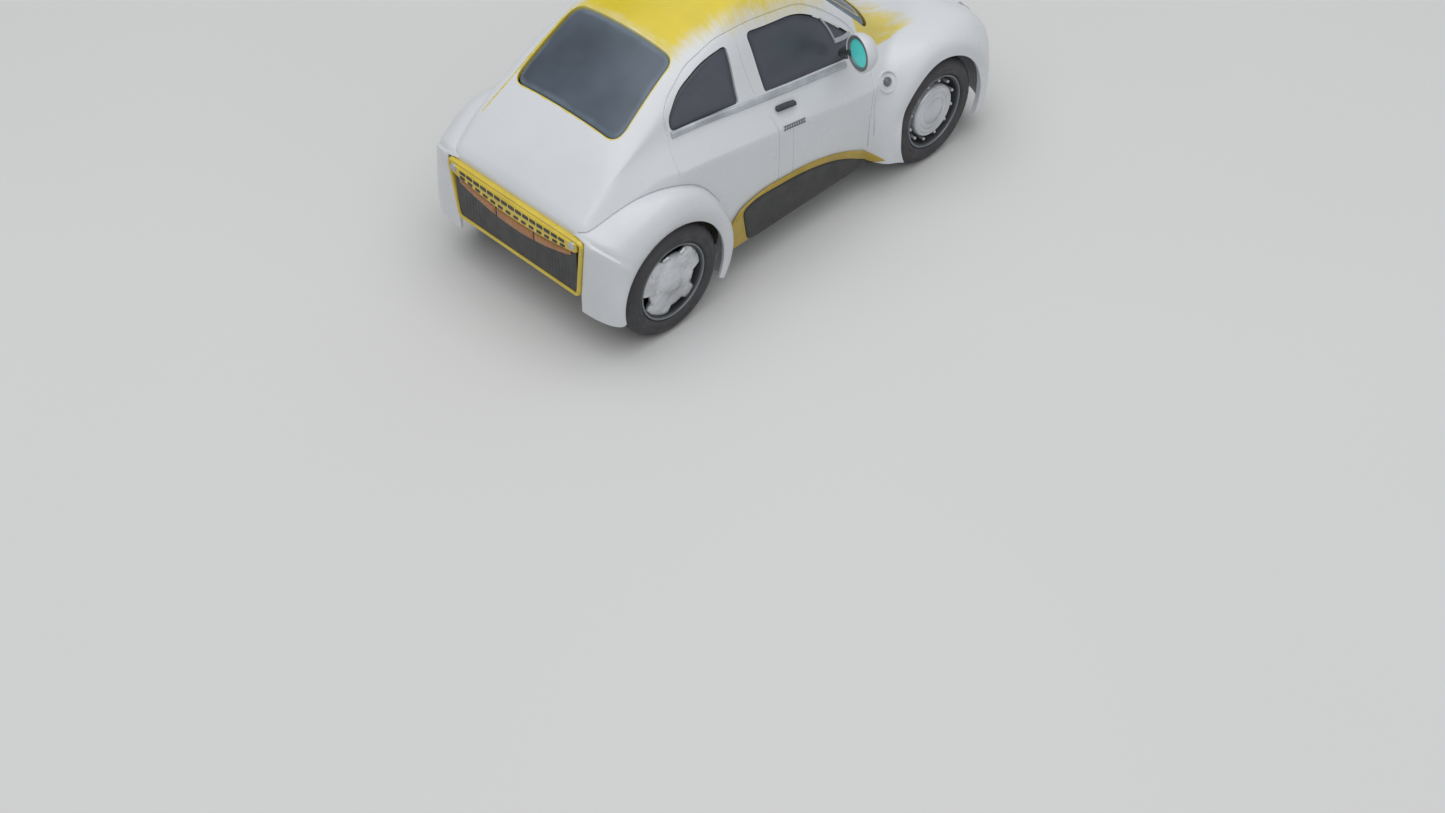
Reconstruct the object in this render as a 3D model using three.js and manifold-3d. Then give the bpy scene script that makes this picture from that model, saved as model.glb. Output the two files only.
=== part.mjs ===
// Friction tin car: a rounded two-door saloon in pressed tin on a base plate, with a
// flywheel friction motor geared to the rear axle. Millimetres, +X forward, +Y left, +Z up.
// The origin is on the floor, under the middle of the car.
import * as THREE from 'three';
import Module from 'manifold-3d';
import { LoftGeometry } from 'three/addons/geometries/LoftGeometry.js';
import { mergeVertices } from 'three/addons/utils/BufferGeometryUtils.js';

const wasm = await Module();
wasm.setup();

// Running gear
const REAR_AXLE_X = -66;
const FRONT_AXLE_X = 60;
const WHEEL_RADIUS = 20;
const AXLE_Z = WHEEL_RADIUS;
const TYRE_INNER_Y = 30.5;
const TYRE_OUTER_Y = 43.5;
const RIM_RADIUS = 13.6;
const ARCH_RADIUS = 21.6;
const AXLE_RADIUS = 1.5;

// Sheet and clearances
const SHEET = 1.4;
const GAP = 0.3;
const RUNNING_GAP = 0.4;

// Body ends
const REAR_X = -91.5;
const NOSE_X = 92.7;
const REAR_EDGE = 2.5;
const NOSE_EDGE = 5;

// Body guide lines on one side: [x, half width, height]
const SILL = guide([[-93, 29, 21], [-80, 35.5, 18], [-60, 38.5, 15], [30, 38.5, 14], [60, 38, 14],
  [80, 34, 15], [94, 22, 18]]);
const CREASE = guide([[-93, 32, 42.5], [-75, 36, 51], [-57, 38.5, 55], [-15, 41, 51], [27, 41, 44],
  [60, 40, 42], [80, 35, 38], [94, 23, 30]]);
const BELT = guide([[-93, 29.5, 45], [-75, 30.5, 58.5], [-53, 31.5, 64.5], [-17, 35, 63],
  [20, 35, 56], [42, 32, 53], [62, 30, 50], [80, 26, 45], [94, 18, 35]]);
const RAIL = guide([[-93, 26, 46], [-84, 27.5, 54], [-71, 28.5, 64.5], [-45, 28.3, 79.8],
  [-15, 27, 90], [8, 26.5, 85.5], [30, 27.5, 69.5], [44, 27.5, 58.5], [65, 22, 52.5], [80, 19, 47],
  [90, 15, 40], [94, 13, 36]]);
const CROWN = guide([[-93, 12, 46], [-84, 12, 55.5], [-70, 12, 67.3], [-45, 12, 83.4],
  [-15, 12, 94], [8, 12, 88.5], [26, 12, 75], [45, 12, 60.5], [65, 12, 54.5], [80, 11, 49],
  [90, 9, 41], [94, 8, 36.5]]);
// How far each guide corner is rounded, as a share of its two sides, and in how many steps
// on the outer and inner faces of the sheet
const CORNERS = [[1, 0.25, 3, 2], [2, 0.35, 3, 2], [3, 0.5, 4, 3], [4, 0.5, 3, 2]];

// Front fender bulge: a superellipsoid merged smoothly into the body
const BULGE = { x: 61, y: 30, z: 22, length: 33, width: 17, height: 28.5, power: 3, blend: 4 };
const BULGE_CENTRE_Z = 30;
const FENDER_HEM_Z = 10.5;

// Rear fender: how far its edge lies from the axle at each angle, forward being 0 degrees
const FENDER_REACH = [[-26, 25.5], [0, 27.3], [40, 29], [65, 31.4], [100, 33.2], [125, 34.4],
  [138, 37]];
const FENDER_END_ANGLE = 189;
const FENDER_REAR_X = -92.4;
const FENDER_FULLNESS = { front: 2.5, rear: 2 };
const FENDER_FACE_Y = 45.3;
const FENDER_LIP_Y = 42.4;
const FENDER_SHEET = 0.8;
const FENDER_LAP = 2.2;
const FENDER_STEPS = 18;
const FENDER_CURVE_STEPS = 5;

// Windows: outline corners [x, height or half width, corner radius]
const DOOR_WINDOW = [[-17.4, 63.3, 1.5], [24, 56.1, 2], [26.2, 62.8, 2], [16.5, 71.8, 8], [4, 80, 12],
  [-19.8, 83.6, 2.5]];
const QUARTER_WINDOW = [[-54.6, 65.4, 2.5], [-28.3, 64.3, 1.2], [-28, 82.9, 2], [-37, 81.2, 8],
  [-49, 75.8, 9], [-54.6, 70, 4]];
const REAR_WINDOW = [[-70.4, -23.8, 5], [-43.4, -21.6, 4], [-43.4, 21.6, 4], [-70.4, 23.8, 5]];
const WINDSCREEN = [[10.8, -23.6, 4], [37.4, -30.6, 4], [43.5, 0, 60], [37.4, 30.6, 4],
  [10.8, 23.6, 4]];
const PANE_DEPTH = [0.35, 1.3];

// Rear panel with its lamps
const PANEL = { top: 43.6, bottom: 21.4, topWidth: 31.2, bottomWidth: 28.8, thick: 1, frame: 1.1 };
const LAMP_STRIP = { top: 42.2, end: 38.6, middle: 36.6, width: 28.6, thick: 0.9 };
const LENS = { end: 35.6, middle: 33.2, width: 24, count: 3 };

// Nose panel and headlights
const GRILLE = { top: 31, bottom: 21, topWidth: 17, bottomWidth: 14, thick: 0.8, frame: 1 };
const HEADLIGHT = { x: 84, y: 30, z: 35.5, radius: 7.2, depth: 7, dome: 2, turn: 24, tilt: 30 };

// Side trim
const MOULDING = [[-55, 64.9], [-41, 64.3], [-28.5, 63.3], [-17.3, 62], [0, 59.1], [20, 55.6]];
const HANDLE = { x: -10.9, z: 56.4, length: 9, height: 2.6, depth: 1.4, slope: -0.19 };
const VENT = { x: -9.6, z: 50.1, length: 10, height: 1.7, depth: 0.8, slope: -0.16 };
const FUEL_CAP = { x: 35.8, z: 43.6, radius: 3.7, depth: 1 };
const SIDE_LEAN = (41 - 38.5) / (51 - 14.5);
const SIDE_Y = 38.7;
const SKIRT = [[-29.5, 14.4, 3], [-32.8, 27.8, 3], [-26, 29.6, 8], [-3, 28, 14], [14, 23.2, 12],
  [27, 14.4, 0.8]];
const SKIRT_TRIM = [[-38.6, 13.4, 0.5], [-37.6, 23, 1], [-32.5, 28.6, 3], [-22, 31, 8], [0, 29.2, 14],
  [15, 25, 10], [30, 13.4, 0.5]];
const SKIRT_DEPTH = 0.8;

// Door mirrors
const MIRROR = { x: 12.6, y: 46.4, z: 68.6, radius: 6.5, depth: 6.5, turn: 15, tilt: 1 };
const MIRROR_ARM = [[17.8, 36.8, 61.6], [16.8, 39, 64], [15.4, 43, 66.4]];

// Base plate and front axle bracket
const PLATE_Z = 15.5;
const PLATE_THICK = 1;
const PLATE_X = [-80, -42.5, 36.5, 84];
const PLATE_WIDE = 36.2;
const PLATE_NARROW = 28.8;
const BRACKET = { halfLength: 5, arm: 18, thick: 1, top: 25 };
const SCREW = { headRadius: 2.2, headDepth: 1, shankRadius: 1, length: 5, clearance: 0.4 };
const SCREW_X = { front: 70, rear: -24 };

// Friction motor
const MODULE = 1;
const TEETH = { drive: 22, idlerPinion: 8, idlerGear: 20, flywheelPinion: 8 };
const IDLER_ANGLE = 38;
const FLYWHEEL_ANGLE = 12;
const SHAFT_RADIUS = 1.2;
const FLYWHEEL = { radius: 11, thick: 5, y: 5.2 };
const DRIVE_GEAR_Y = -5.6;
const IDLER_GEAR_Y = -0.6;
const GEAR_THICK = 2.6;
const PINION_LENGTH = 3.6;
const MOTOR_PLATE_Y = 9.2;
const MOTOR_PLATE = [[-77, 17, 2], [-27, 17, 2], [-27, 30, 6], [-33, 42, 6], [-50, 42, 6],
  [-72, 40, 6], [-77, 28, 4]];
const PILLARS = { front: [-33, 21.5], rear: [-68, 35.2] };
const PILLAR_RADIUS = 1.5;

const white = paint('body_white', 0xe6e8ea, 0.3);
const yellow = paint('trim_yellow', 0xd9b81e, 0.35);
const black = paint('panel_black', 0x26282a, 0.5);
const glassDark = paint('window_tint', 0x3a4650, 0.15);
const sideGlass = paint('side_window_tint', 0x35383d, 0.2);
const silver = paint('silver_trim', 0xa9adb0, 0.35, 0.7);
const amber = paint('amber_lens', 0xb06a20, 0.2);
const lampGlass = paint('lamp_lens', 0xd7dde2, 0.1);
const teal = paint('mirror_glass', 0x35c7bd, 0.08, 0.4);
const rubber = paint('tyre_rubber', 0x2f3032, 0.85);
const hubSilver = paint('hub_silver', 0xb9bcbf, 0.35, 0.6);
const steel = paint('steel', 0x8f9396, 0.4, 0.9);
const brass = paint('brass_gear', 0xb99a4a, 0.35, 0.9);
const tinplate = paint('tinplate', 0xb4b8ba, 0.4, 0.85);

const car = new THREE.Group();

function paint(name, color, roughness, metalness = 0) {
  return new THREE.MeshStandardMaterial({ name, color, roughness, metalness });
}

function radians(degrees) {
  return THREE.MathUtils.degToRad(degrees);
}

// A smooth line through [x, y, z] points that never overshoots them: x gives (y, z)
function guide(points) {
  const xs = points.map((point) => point[0]);
  const channel = (index) => {
    const values = points.map((point) => point[index]);
    const rise = values.slice(1).map((value, i) => (value - values[i]) / (xs[i + 1] - xs[i]));
    const slopes = values.map((_, i) => {
      if (i === 0) return rise[0];
      if (i === rise.length) return rise[i - 1];
      return rise[i - 1] * rise[i] <= 0 ? 0 : 2 * rise[i - 1] * rise[i] / (rise[i - 1] + rise[i]);
    });
    return (x) => {
      const i = Math.min(Math.max(xs.findLastIndex((start) => start <= x), 0), rise.length - 1);
      const span = xs[i + 1] - xs[i];
      const t = THREE.MathUtils.clamp((x - xs[i]) / span, 0, 1);
      const s = 1 - t;
      return (1 + 2 * t) * s * s * values[i] + t * s * s * span * slopes[i]
        + t * t * (3 - 2 * t) * values[i + 1] - t * t * s * span * slopes[i + 1];
    };
  };
  const y = channel(1);
  const z = channel(2);
  return (x) => new THREE.Vector2(y(x), z(x));
}

// ---- Solids ----

function toSolid(geometry) {
  const bare = new THREE.BufferGeometry();
  bare.setAttribute('position', geometry.attributes.position);
  bare.setIndex(geometry.index);
  const merged = mergeVertices(bare, 1e-4);
  const make = (triVerts) => new wasm.Manifold(new wasm.Mesh({
    numProp: 3,
    vertProperties: new Float32Array(merged.attributes.position.array),
    triVerts: new Uint32Array(triVerts),
  }));
  const solid = make(merged.index.array);
  return solid.volume() > 0 ? solid : make([...merged.index.array].reverse());
}

function toGeometry(solid) {
  const mesh = solid.getMesh();
  const geometry = new THREE.BufferGeometry();
  geometry.setAttribute('position', new THREE.BufferAttribute(mesh.vertProperties, 3));
  geometry.setIndex(new THREE.BufferAttribute(mesh.triVerts, 1));
  geometry.computeVertexNormals();
  return geometry;
}

function addPiece(name, solid, material, parent = car) {
  const mesh = new THREE.Mesh(toGeometry(solid), material);
  mesh.name = name;
  parent.add(mesh);
  return mesh;
}

// Corner list [u, v, radius] to an outline with rounded corners
function roundedOutline(corners, inset = 0) {
  const outline = [];
  corners.forEach(([u, v, radius], i) => {
    const corner = new THREE.Vector2(u, v);
    const before = new THREE.Vector2(...corners.at(i - 1).slice(0, 2)).sub(corner);
    const after = new THREE.Vector2(...corners[(i + 1) % corners.length].slice(0, 2)).sub(corner);
    const reach = Math.min(radius, before.length() * 0.48, after.length() * 0.48);
    const start = corner.clone().addScaledVector(before.normalize(), reach);
    const end = corner.clone().addScaledVector(after.normalize(), reach);
    const curve = new THREE.QuadraticBezierCurve(start, corner, end);
    outline.push(...curve.getPoints(radius > 1 ? 3 : 1));
  });
  return inset === 0 ? outline : insetOutline(outline, inset);
}

// Moves each side of a closed outline inwards
function insetOutline(outline, inset) {
  const turn = Math.sign(THREE.ShapeUtils.area(outline));
  const inward = (a, b) => {
    const along = b.clone().sub(a).normalize();
    return new THREE.Vector2(-along.y, along.x).multiplyScalar(turn);
  };
  return outline.map((point, i) => {
    const first = inward(outline.at(i - 1), point);
    const second = inward(point, outline[(i + 1) % outline.length]);
    const middle = first.add(second).normalize();
    return point.clone().addScaledVector(middle, inset / Math.max(middle.dot(second), 0.5));
  });
}

const ALONG_X = new THREE.Matrix4().set(0, 0, 1, 0, 1, 0, 0, 0, 0, 1, 0, 0, 0, 0, 0, 1);
const ALONG_Y = new THREE.Matrix4().makeRotationX(Math.PI / 2);
const ALONG_Z = new THREE.Matrix4();

// An outline pushed from one place to another along an axis. Along Y the outline is (x, z),
// along X it is (y, z) and along Z it is (x, y).
function prism(outline, axis, from, to, holes = []) {
  const shape = new THREE.Shape(outline);
  shape.holes = holes.map((hole) => new THREE.Path(hole));
  const geometry = new THREE.ExtrudeGeometry(shape, { depth: to - from, bevelEnabled: false });
  geometry.translate(0, 0, axis === ALONG_Y ? -to : from);
  geometry.applyMatrix4(axis);
  return toSolid(geometry);
}

function circle(u, v, radius, steps = 20) {
  return new THREE.Path().absarc(u, v, radius, 0, Math.PI * 2).getPoints(steps).slice(0, -1);
}

// A round rod along Y about (x, z)
function rod(x, z, radius, from, to, steps = 20) {
  const geometry = new THREE.CylinderGeometry(radius, radius, to - from, steps);
  geometry.translate(x, (from + to) / 2, z);
  return toSolid(geometry);
}

function lathe(profile, steps) {
  return toSolid(new THREE.LatheGeometry(profile.map(([r, y]) => new THREE.Vector2(r, y)), steps));
}

function mirrorPair(make) {
  make('left', 1);
  make('right', -1);
}

// ---- Body surface ----

function inBulge(x, y, z) {
  const along = Math.abs((x - BULGE.x) / BULGE.length) ** BULGE.power;
  const across = (Math.max(0, y - BULGE.y) / BULGE.width) ** BULGE.power;
  const up = Math.abs((z - BULGE.z) / BULGE.height) ** BULGE.power;
  return along + across + up < 1;
}

// Distance from the bulge centre line to the bulge's skin in a direction (0 where it misses)
function bulgeReach(x, direction) {
  const inside = (r) => inBulge(x, r * direction.x, BULGE_CENTRE_Z + r * direction.y);
  let low = 60;
  while (low > 0 && !inside(low)) low -= 1;
  if (low <= 0) return 0;
  let high = low + 1;
  for (let i = 0; i < 12; i += 1) {
    const middle = (low + high) / 2;
    if (inside(middle)) low = middle;
    else high = middle;
  }
  return low;
}

function smoothMax(a, b, blend) {
  const share = THREE.MathUtils.clamp(0.5 + 0.5 * (a - b) / blend, 0, 1);
  return b + (a - b) * share + blend * share * (1 - share);
}

// One side of the body's cross-section at x, from the sill up to the middle of the roof.
// The points are (half width, height).
function halfSection(x, inner = false) {
  const controls = [SILL, CREASE, BELT, RAIL, CROWN].map((line) => line(x));
  controls.push(new THREE.Vector2(-controls[4].x, controls[4].y));
  const points = [controls[0]];
  CORNERS.forEach(([index, share, outerSteps, innerSteps]) => {
    const corner = controls[index];
    const start = corner.clone().lerp(controls[index - 1], share);
    const end = corner.clone().lerp(controls[index + 1], share);
    const bend = new THREE.QuadraticBezierCurve(start, corner, end);
    const curve = bend.getPoints(inner ? innerSteps : outerSteps);
    points.push(...(index === 4 ? curve.slice(1) : curve));
  });
  const bulged = points.map((point) => {
    const arm = new THREE.Vector2(point.x, point.y - BULGE_CENTRE_Z);
    const direction = arm.clone().normalize();
    const bulge = bulgeReach(x, direction);
    const reach = bulge > 0 ? smoothMax(arm.length(), bulge, BULGE.blend) : arm.length();
    const y = reach * direction.x;
    return new THREE.Vector2(y, Math.max(BULGE_CENTRE_Z + reach * direction.y, FENDER_HEM_Z));
  });
  return roundEnd(x, bulged);
}

// Draws a section in towards its middle near the two ends, which rounds the body's edges
function roundEnd(x, points) {
  const fromRear = x - REAR_X;
  const fromNose = NOSE_X - x;
  const [edge, distance] = fromRear < fromNose ? [REAR_EDGE, fromRear] : [NOSE_EDGE, fromNose];
  if (distance >= edge) return points;
  const inset = edge - Math.sqrt(edge * edge - (edge - Math.max(distance, 0)) ** 2);
  return insetFrom(points, (points[0].y + points.at(-1).y) / 2, inset);
}

function insetFrom(points, centreZ, inset) {
  return points.map((point) => {
    const arm = new THREE.Vector2(point.x, point.y - centreZ);
    arm.setLength(Math.max(arm.length() - inset, 0.2));
    return new THREE.Vector2(arm.x, centreZ + arm.y);
  });
}

function bodyStations() {
  const stations = [];
  for (let x = -85; x <= 83; x += 8) stations.push(x);
  [0, 0.4, 1.2, 2.5].forEach((distance) => stations.push(REAR_X + distance));
  [0, 0.5, 1.8, 4].forEach((distance) => stations.push(NOSE_X - distance));
  return stations.sort((a, b) => a - b);
}

// The body as a closed solid, drawn in by an inset. An inner one has coarser corners, and runs
// on below the sills.
function bodySolid(inset, inner) {
  const centreX = (REAR_X + NOSE_X) / 2;
  const shrink = 1 - inset / (NOSE_X - centreX);
  const sections = bodyStations().map((station) => {
    const x = centreX + (station - centreX) * shrink;
    const half = insetFrom(halfSection(station, inner), BULGE_CENTRE_Z, inset);
    if (inner) half.unshift(new THREE.Vector2(half[0].x, half[0].y - 12));
    const otherHalf = half.slice(0, -1).reverse()
      .map((point) => new THREE.Vector2(-point.x, point.y));
    return [...half, ...otherHalf].map((point) => new THREE.Vector3(x, point.x, point.y));
  });
  return toSolid(new LoftGeometry(sections, { capStart: true, capEnd: true }));
}

// Half width of the body at a height on its side
function bodySideAt(x, z) {
  const points = halfSection(x);
  for (let i = 1; i < points.length; i += 1) {
    const [below, above] = [points[i - 1], points[i]];
    if (above.y >= z) {
      const share = THREE.MathUtils.clamp((z - below.y) / (above.y - below.y), 0, 1);
      return THREE.MathUtils.lerp(below.x, above.x, share);
    }
  }
  return 0;
}

// ---- Rear fenders ----

function fenderReach(angle) {
  const rearEdge = (REAR_AXLE_X - FENDER_REAR_X) / -Math.cos(radians(angle));
  const last = FENDER_REACH.at(-1);
  if (angle >= last[0]) return rearEdge;
  const i = Math.max(FENDER_REACH.findLastIndex((point) => point[0] <= angle), 0);
  const [from, to] = [FENDER_REACH[i], FENDER_REACH[i + 1]];
  const reach = THREE.MathUtils.mapLinear(angle, from[0], to[0], from[1], to[1]);
  return angle > 90 ? Math.min(reach, Math.max(rearEdge, 0)) : reach;
}

function fenderAngles() {
  const start = FENDER_REACH[0][0];
  const step = (FENDER_END_ANGLE - start) / FENDER_STEPS;
  return Array.from({ length: FENDER_STEPS + 1 }, (_, i) => start + step * i);
}

// A pressed fender: a quarter-round wall from its edge on the body out to the arch, then a lip
function fender(side) {
  const sections = fenderAngles().map((angle) => {
    const direction = new THREE.Vector2(Math.cos(radians(angle)), Math.sin(radians(angle)));
    const edge = fenderReach(angle);
    const edgeX = REAR_AXLE_X + edge * direction.x;
    const edgeZ = AXLE_Z + edge * direction.y;
    const seat = Math.max(bodySideAt(edgeX, edgeZ), PANEL.topWidth) + GAP + 0.1;
    const towardsRear = THREE.MathUtils.smoothstep(angle, 90, 150);
    const fullness = THREE.MathUtils.lerp(FENDER_FULLNESS.front, FENDER_FULLNESS.rear, towardsRear);
    const full = (value) => Math.max(value, 0) ** (2 / fullness);
    const wall = (inset) => Array.from({ length: FENDER_CURVE_STEPS + 1 }, (_, i) => {
      const turn = Math.PI / 2 * i / FENDER_CURVE_STEPS;
      const inner = ARCH_RADIUS + inset;
      return [inner + (edge - inset - inner) * full(Math.cos(turn)),
        seat + (FENDER_FACE_Y - inset - seat) * full(Math.sin(turn))];
    });
    const lip = [[ARCH_RADIUS, FENDER_LIP_Y], [ARCH_RADIUS + FENDER_SHEET, FENDER_LIP_Y]];
    const ring = [...wall(0), ...lip, ...wall(FENDER_SHEET).reverse()];
    if (side < 0) ring.reverse();
    return ring.map(([r, y]) => new THREE.Vector3(
      REAR_AXLE_X + r * direction.x, side * y, AXLE_Z + r * direction.y));
  });
  return toSolid(new LoftGeometry(sections, { capStart: true, capEnd: true }));
}

// The hole in the body behind a rear fender, as a prism on one side
function fenderHole(side) {
  const outline = fenderAngles().map((angle) => {
    const reach = fenderReach(angle) - FENDER_LAP;
    return new THREE.Vector2(
      REAR_AXLE_X + reach * Math.cos(radians(angle)), AXLE_Z + reach * Math.sin(radians(angle)));
  });
  outline.push(new THREE.Vector2(outline.at(-1).x, 0), new THREE.Vector2(outline[0].x, 0));
  return side > 0 ? prism(outline, ALONG_Y, 27, 60) : prism(outline, ALONG_Y, -60, -27);
}

// ---- Body shell and windows ----

function sideWindow(corners, side, inset = 0) {
  const outline = roundedOutline(corners, inset);
  return side > 0 ? prism(outline, ALONG_Y, 15, 60) : prism(outline, ALONG_Y, -60, -15);
}

function topWindow(corners, inset = 0) {
  return prism(roundedOutline(corners, inset), ALONG_Z, 54, 110);
}

function headlightFrame(side) {
  const frame = new THREE.Object3D();
  frame.position.set(HEADLIGHT.x, side * HEADLIGHT.y, HEADLIGHT.z);
  frame.rotation.set(0, radians(90 - HEADLIGHT.tilt), side * radians(HEADLIGHT.turn), 'ZYX');
  frame.updateMatrix();
  return frame;
}

function alongLocalZ(frame, radius, from, to, steps = 20) {
  const geometry = new THREE.CylinderGeometry(radius, radius, to - from, steps);
  geometry.rotateX(Math.PI / 2);
  geometry.translate(0, 0, (from + to) / 2);
  geometry.applyMatrix4(frame.matrix);
  return toSolid(geometry);
}

function buildBody() {
  let shell = bodySolid(0, false).subtract(bodySolid(SHEET, true));
  mirrorPair((name, side) => {
    const [from, to] = side > 0 ? [27, 60] : [-60, -27];
    shell = shell.subtract(rod(FRONT_AXLE_X, AXLE_Z, ARCH_RADIUS, from, to, 32));
    shell = shell.subtract(fenderHole(side));
    shell = shell.subtract(sideWindow(DOOR_WINDOW, side));
    shell = shell.subtract(sideWindow(QUARTER_WINDOW, side));
    shell = shell.subtract(alongLocalZ(headlightFrame(side), HEADLIGHT.radius + GAP, -2, 20));
  });
  shell = shell.subtract(topWindow(REAR_WINDOW)).subtract(topWindow(WINDSCREEN));
  addPiece('body_shell', largest(shell), white);
}

// Cutting can leave slivers, so a piece keeps only its largest body
function largest(solid) {
  return solid.decompose().sort((a, b) => b.volume() - a.volume())[0];
}

function buildWindows() {
  const layer = bodySolid(PANE_DEPTH[0], false).subtract(bodySolid(PANE_DEPTH[1], true));
  addPiece('windscreen', largest(layer.intersect(topWindow(WINDSCREEN, GAP))), glassDark);
  addPiece('rear_window', largest(layer.intersect(topWindow(REAR_WINDOW, GAP))), glassDark);
  mirrorPair((name, side) => {
    const door = layer.intersect(sideWindow(DOOR_WINDOW, side, GAP));
    const quarter = layer.intersect(sideWindow(QUARTER_WINDOW, side, GAP));
    addPiece(`door_window_${name}`, largest(door), sideGlass);
    addPiece(`quarter_window_${name}`, largest(quarter), sideGlass);
  });
}

function buildFenders() {
  mirrorPair((name, side) => {
    addPiece(`rear_fender_${name}`, largest(fender(side).subtract(bodyClearance)), white);
  });
}

// ---- Rear panel and lamps ----

function trapezoid({ top, bottom, topWidth, bottomWidth }, inset = 0) {
  const radius = 2.2 - inset;
  const low = bottom + inset;
  const high = top - inset;
  return roundedOutline([[inset - bottomWidth, low, radius], [bottomWidth - inset, low, radius],
    [topWidth - inset, high, radius], [inset - topWidth, high, radius]]);
}

// A band under a straight top edge whose lower edge sags towards the middle
function saggingBand(topAt, bottomAt, from, to, steps) {
  const ys = Array.from({ length: steps + 1 }, (_, i) => THREE.MathUtils.lerp(from, to, i / steps));
  const top = ys.map((y) => new THREE.Vector2(y, topAt(y)));
  const bottom = ys.map((y) => new THREE.Vector2(y, bottomAt(y)));
  return [...bottom, ...top.reverse()];
}

function buildRearPanel() {
  const back = REAR_X - GAP;
  const { frame, thick } = PANEL;
  const ring = prism(trapezoid(PANEL), ALONG_X, back - thick - 0.4, back, [trapezoid(PANEL, frame)]);
  addPiece('rear_panel_frame', ring, yellow);
  addPiece('rear_panel', prism(trapezoid(PANEL, frame + GAP), ALONG_X, back - thick, back), black);

  const face = back - thick - GAP;
  const sag = (end, middle, width) => (y) => end + (middle - end) * (1 - (y / width) ** 2);
  const stripBottom = sag(LAMP_STRIP.end, LAMP_STRIP.middle, LAMP_STRIP.width);
  const strip = saggingBand(() => LAMP_STRIP.top, stripBottom, -LAMP_STRIP.width, LAMP_STRIP.width, 8);
  addPiece('tail_lamp_strip', prism(strip, ALONG_X, face - LAMP_STRIP.thick, face), yellow);

  const lensBottom = sag(LENS.end, LENS.middle, LENS.width);
  const lensWidth = 2 * LENS.width / LENS.count;
  ['right', 'center', 'left'].forEach((place, i) => {
    const from = -LENS.width + i * lensWidth + GAP / 2;
    const to = from + lensWidth - GAP;
    const outline = saggingBand((y) => stripBottom(y) - GAP, lensBottom, from, to, 3);
    addPiece(`rear_lens_${place}`, prism(outline, ALONG_X, face - LAMP_STRIP.thick, face), amber);
  });
}

// ---- Nose ----

function buildNose() {
  const face = NOSE_X + GAP;
  const { thick, frame } = GRILLE;
  const opening = trapezoid(GRILLE, frame);
  const ring = prism(trapezoid(GRILLE), ALONG_X, face, face + thick + 0.2, [opening]);
  addPiece('front_panel_frame', ring, yellow);
  addPiece('front_panel', prism(trapezoid(GRILLE, frame + GAP), ALONG_X, face, face + thick), black);
  mirrorPair((name, side) => {
    const seat = headlightFrame(side);
    const { radius, depth, dome } = HEADLIGHT;
    const lamp = lathe([[0, 0], [radius, 0], [radius, depth], [radius * 0.75, depth + dome * 0.6],
      [0, depth + dome]], 20);
    const geometry = toGeometry(lamp);
    geometry.rotateX(Math.PI / 2);
    geometry.applyMatrix4(seat.matrix);
    addPiece(`headlight_${name}`, toSolid(geometry), lampGlass);
  });
}

// ---- Side trim ----

// A strip that follows the body's side through [x, z] points
function sideStrip(points, side, height, depth) {
  const path = new THREE.CatmullRomCurve3(points.map(([x, z]) => new THREE.Vector3(
    x, side * (bodySideAt(x, z) + GAP + depth / 2 + 0.3), z)));
  const half = height / 2;
  const section = new THREE.Shape([[-depth / 2, -half], [depth / 2, -half], [depth / 2, half],
    [-depth / 2, half]].map(([u, v]) => new THREE.Vector2(u, v)));
  return toSolid(new THREE.ExtrudeGeometry(section, { steps: 12, extrudePath: path }));
}

// A plate lying on the lower side of the body, which leans out as it rises
function sidePlate(outline, side, depth, holes = []) {
  const inner = SIDE_Y + GAP;
  const [from, to] = side > 0 ? [inner, inner + depth] : [-inner - depth, -inner];
  const lean = side * SIDE_LEAN;
  const shear = new THREE.Matrix4().set(1, 0, 0, 0, 0, 1, lean, -lean * 14.5, 0, 0, 1, 0, 0, 0, 0, 1);
  const geometry = toGeometry(prism(outline, ALONG_Y, from, to, holes));
  geometry.applyMatrix4(shear);
  return toSolid(geometry);
}

function slopedPad({ x, z, length, height, depth, slope }, side, radius) {
  const corners = [[-1, -1], [1, -1], [1, 1], [-1, 1]].map(([u, v]) => [
    x + u * length / 2, z + u * slope * length / 2 + v * height / 2, radius]);
  const inner = Math.max(...corners.map((corner) => bodySideAt(corner[0], corner[1]))) + GAP;
  const [from, to] = side > 0 ? [inner, inner + depth] : [-inner - depth, -inner];
  return prism(roundedOutline(corners), ALONG_Y, from, to);
}

function buildSideTrim() {
  mirrorPair((name, side) => {
    const moulding = sideStrip(MOULDING, side, 1.9, 0.8).subtract(bodyClearance);
    addPiece(`belt_moulding_${name}`, largest(moulding), silver);
    addPiece(`door_handle_${name}`, slopedPad(HANDLE, side, 1.2), black);
    addPiece(`side_vent_${name}`, slopedPad(VENT, side, 0.6), silver);
    const skirt = roundedOutline(SKIRT);
    const trim = sidePlate(roundedOutline(SKIRT_TRIM), side, SKIRT_DEPTH);
    const [from, to] = side > 0 ? [30, 50] : [-50, -30];
    const clear = prism(insetOutline(skirt, -GAP), ALONG_Y, from, to);
    const plate = sidePlate(skirt, side, SKIRT_DEPTH);
    addPiece(`side_skirt_${name}`, largest(plate.subtract(bodyClearance)), black);
    addPiece(`skirt_trim_${name}`, largest(trim.subtract(clear).subtract(bodyClearance)), yellow);
  });
  const { x, z, radius, depth } = FUEL_CAP;
  const diagonal = radius * Math.SQRT1_2;
  const rim = [bodySideAt(x, z - radius), bodySideAt(x + diagonal, z - diagonal),
    bodySideAt(x + radius, z)];
  const seat = Math.max(...rim) + GAP;
  addPiece('fuel_cap', rod(x, z, radius, -seat - depth, -seat), silver);
}

// ---- Door mirrors ----

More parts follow.
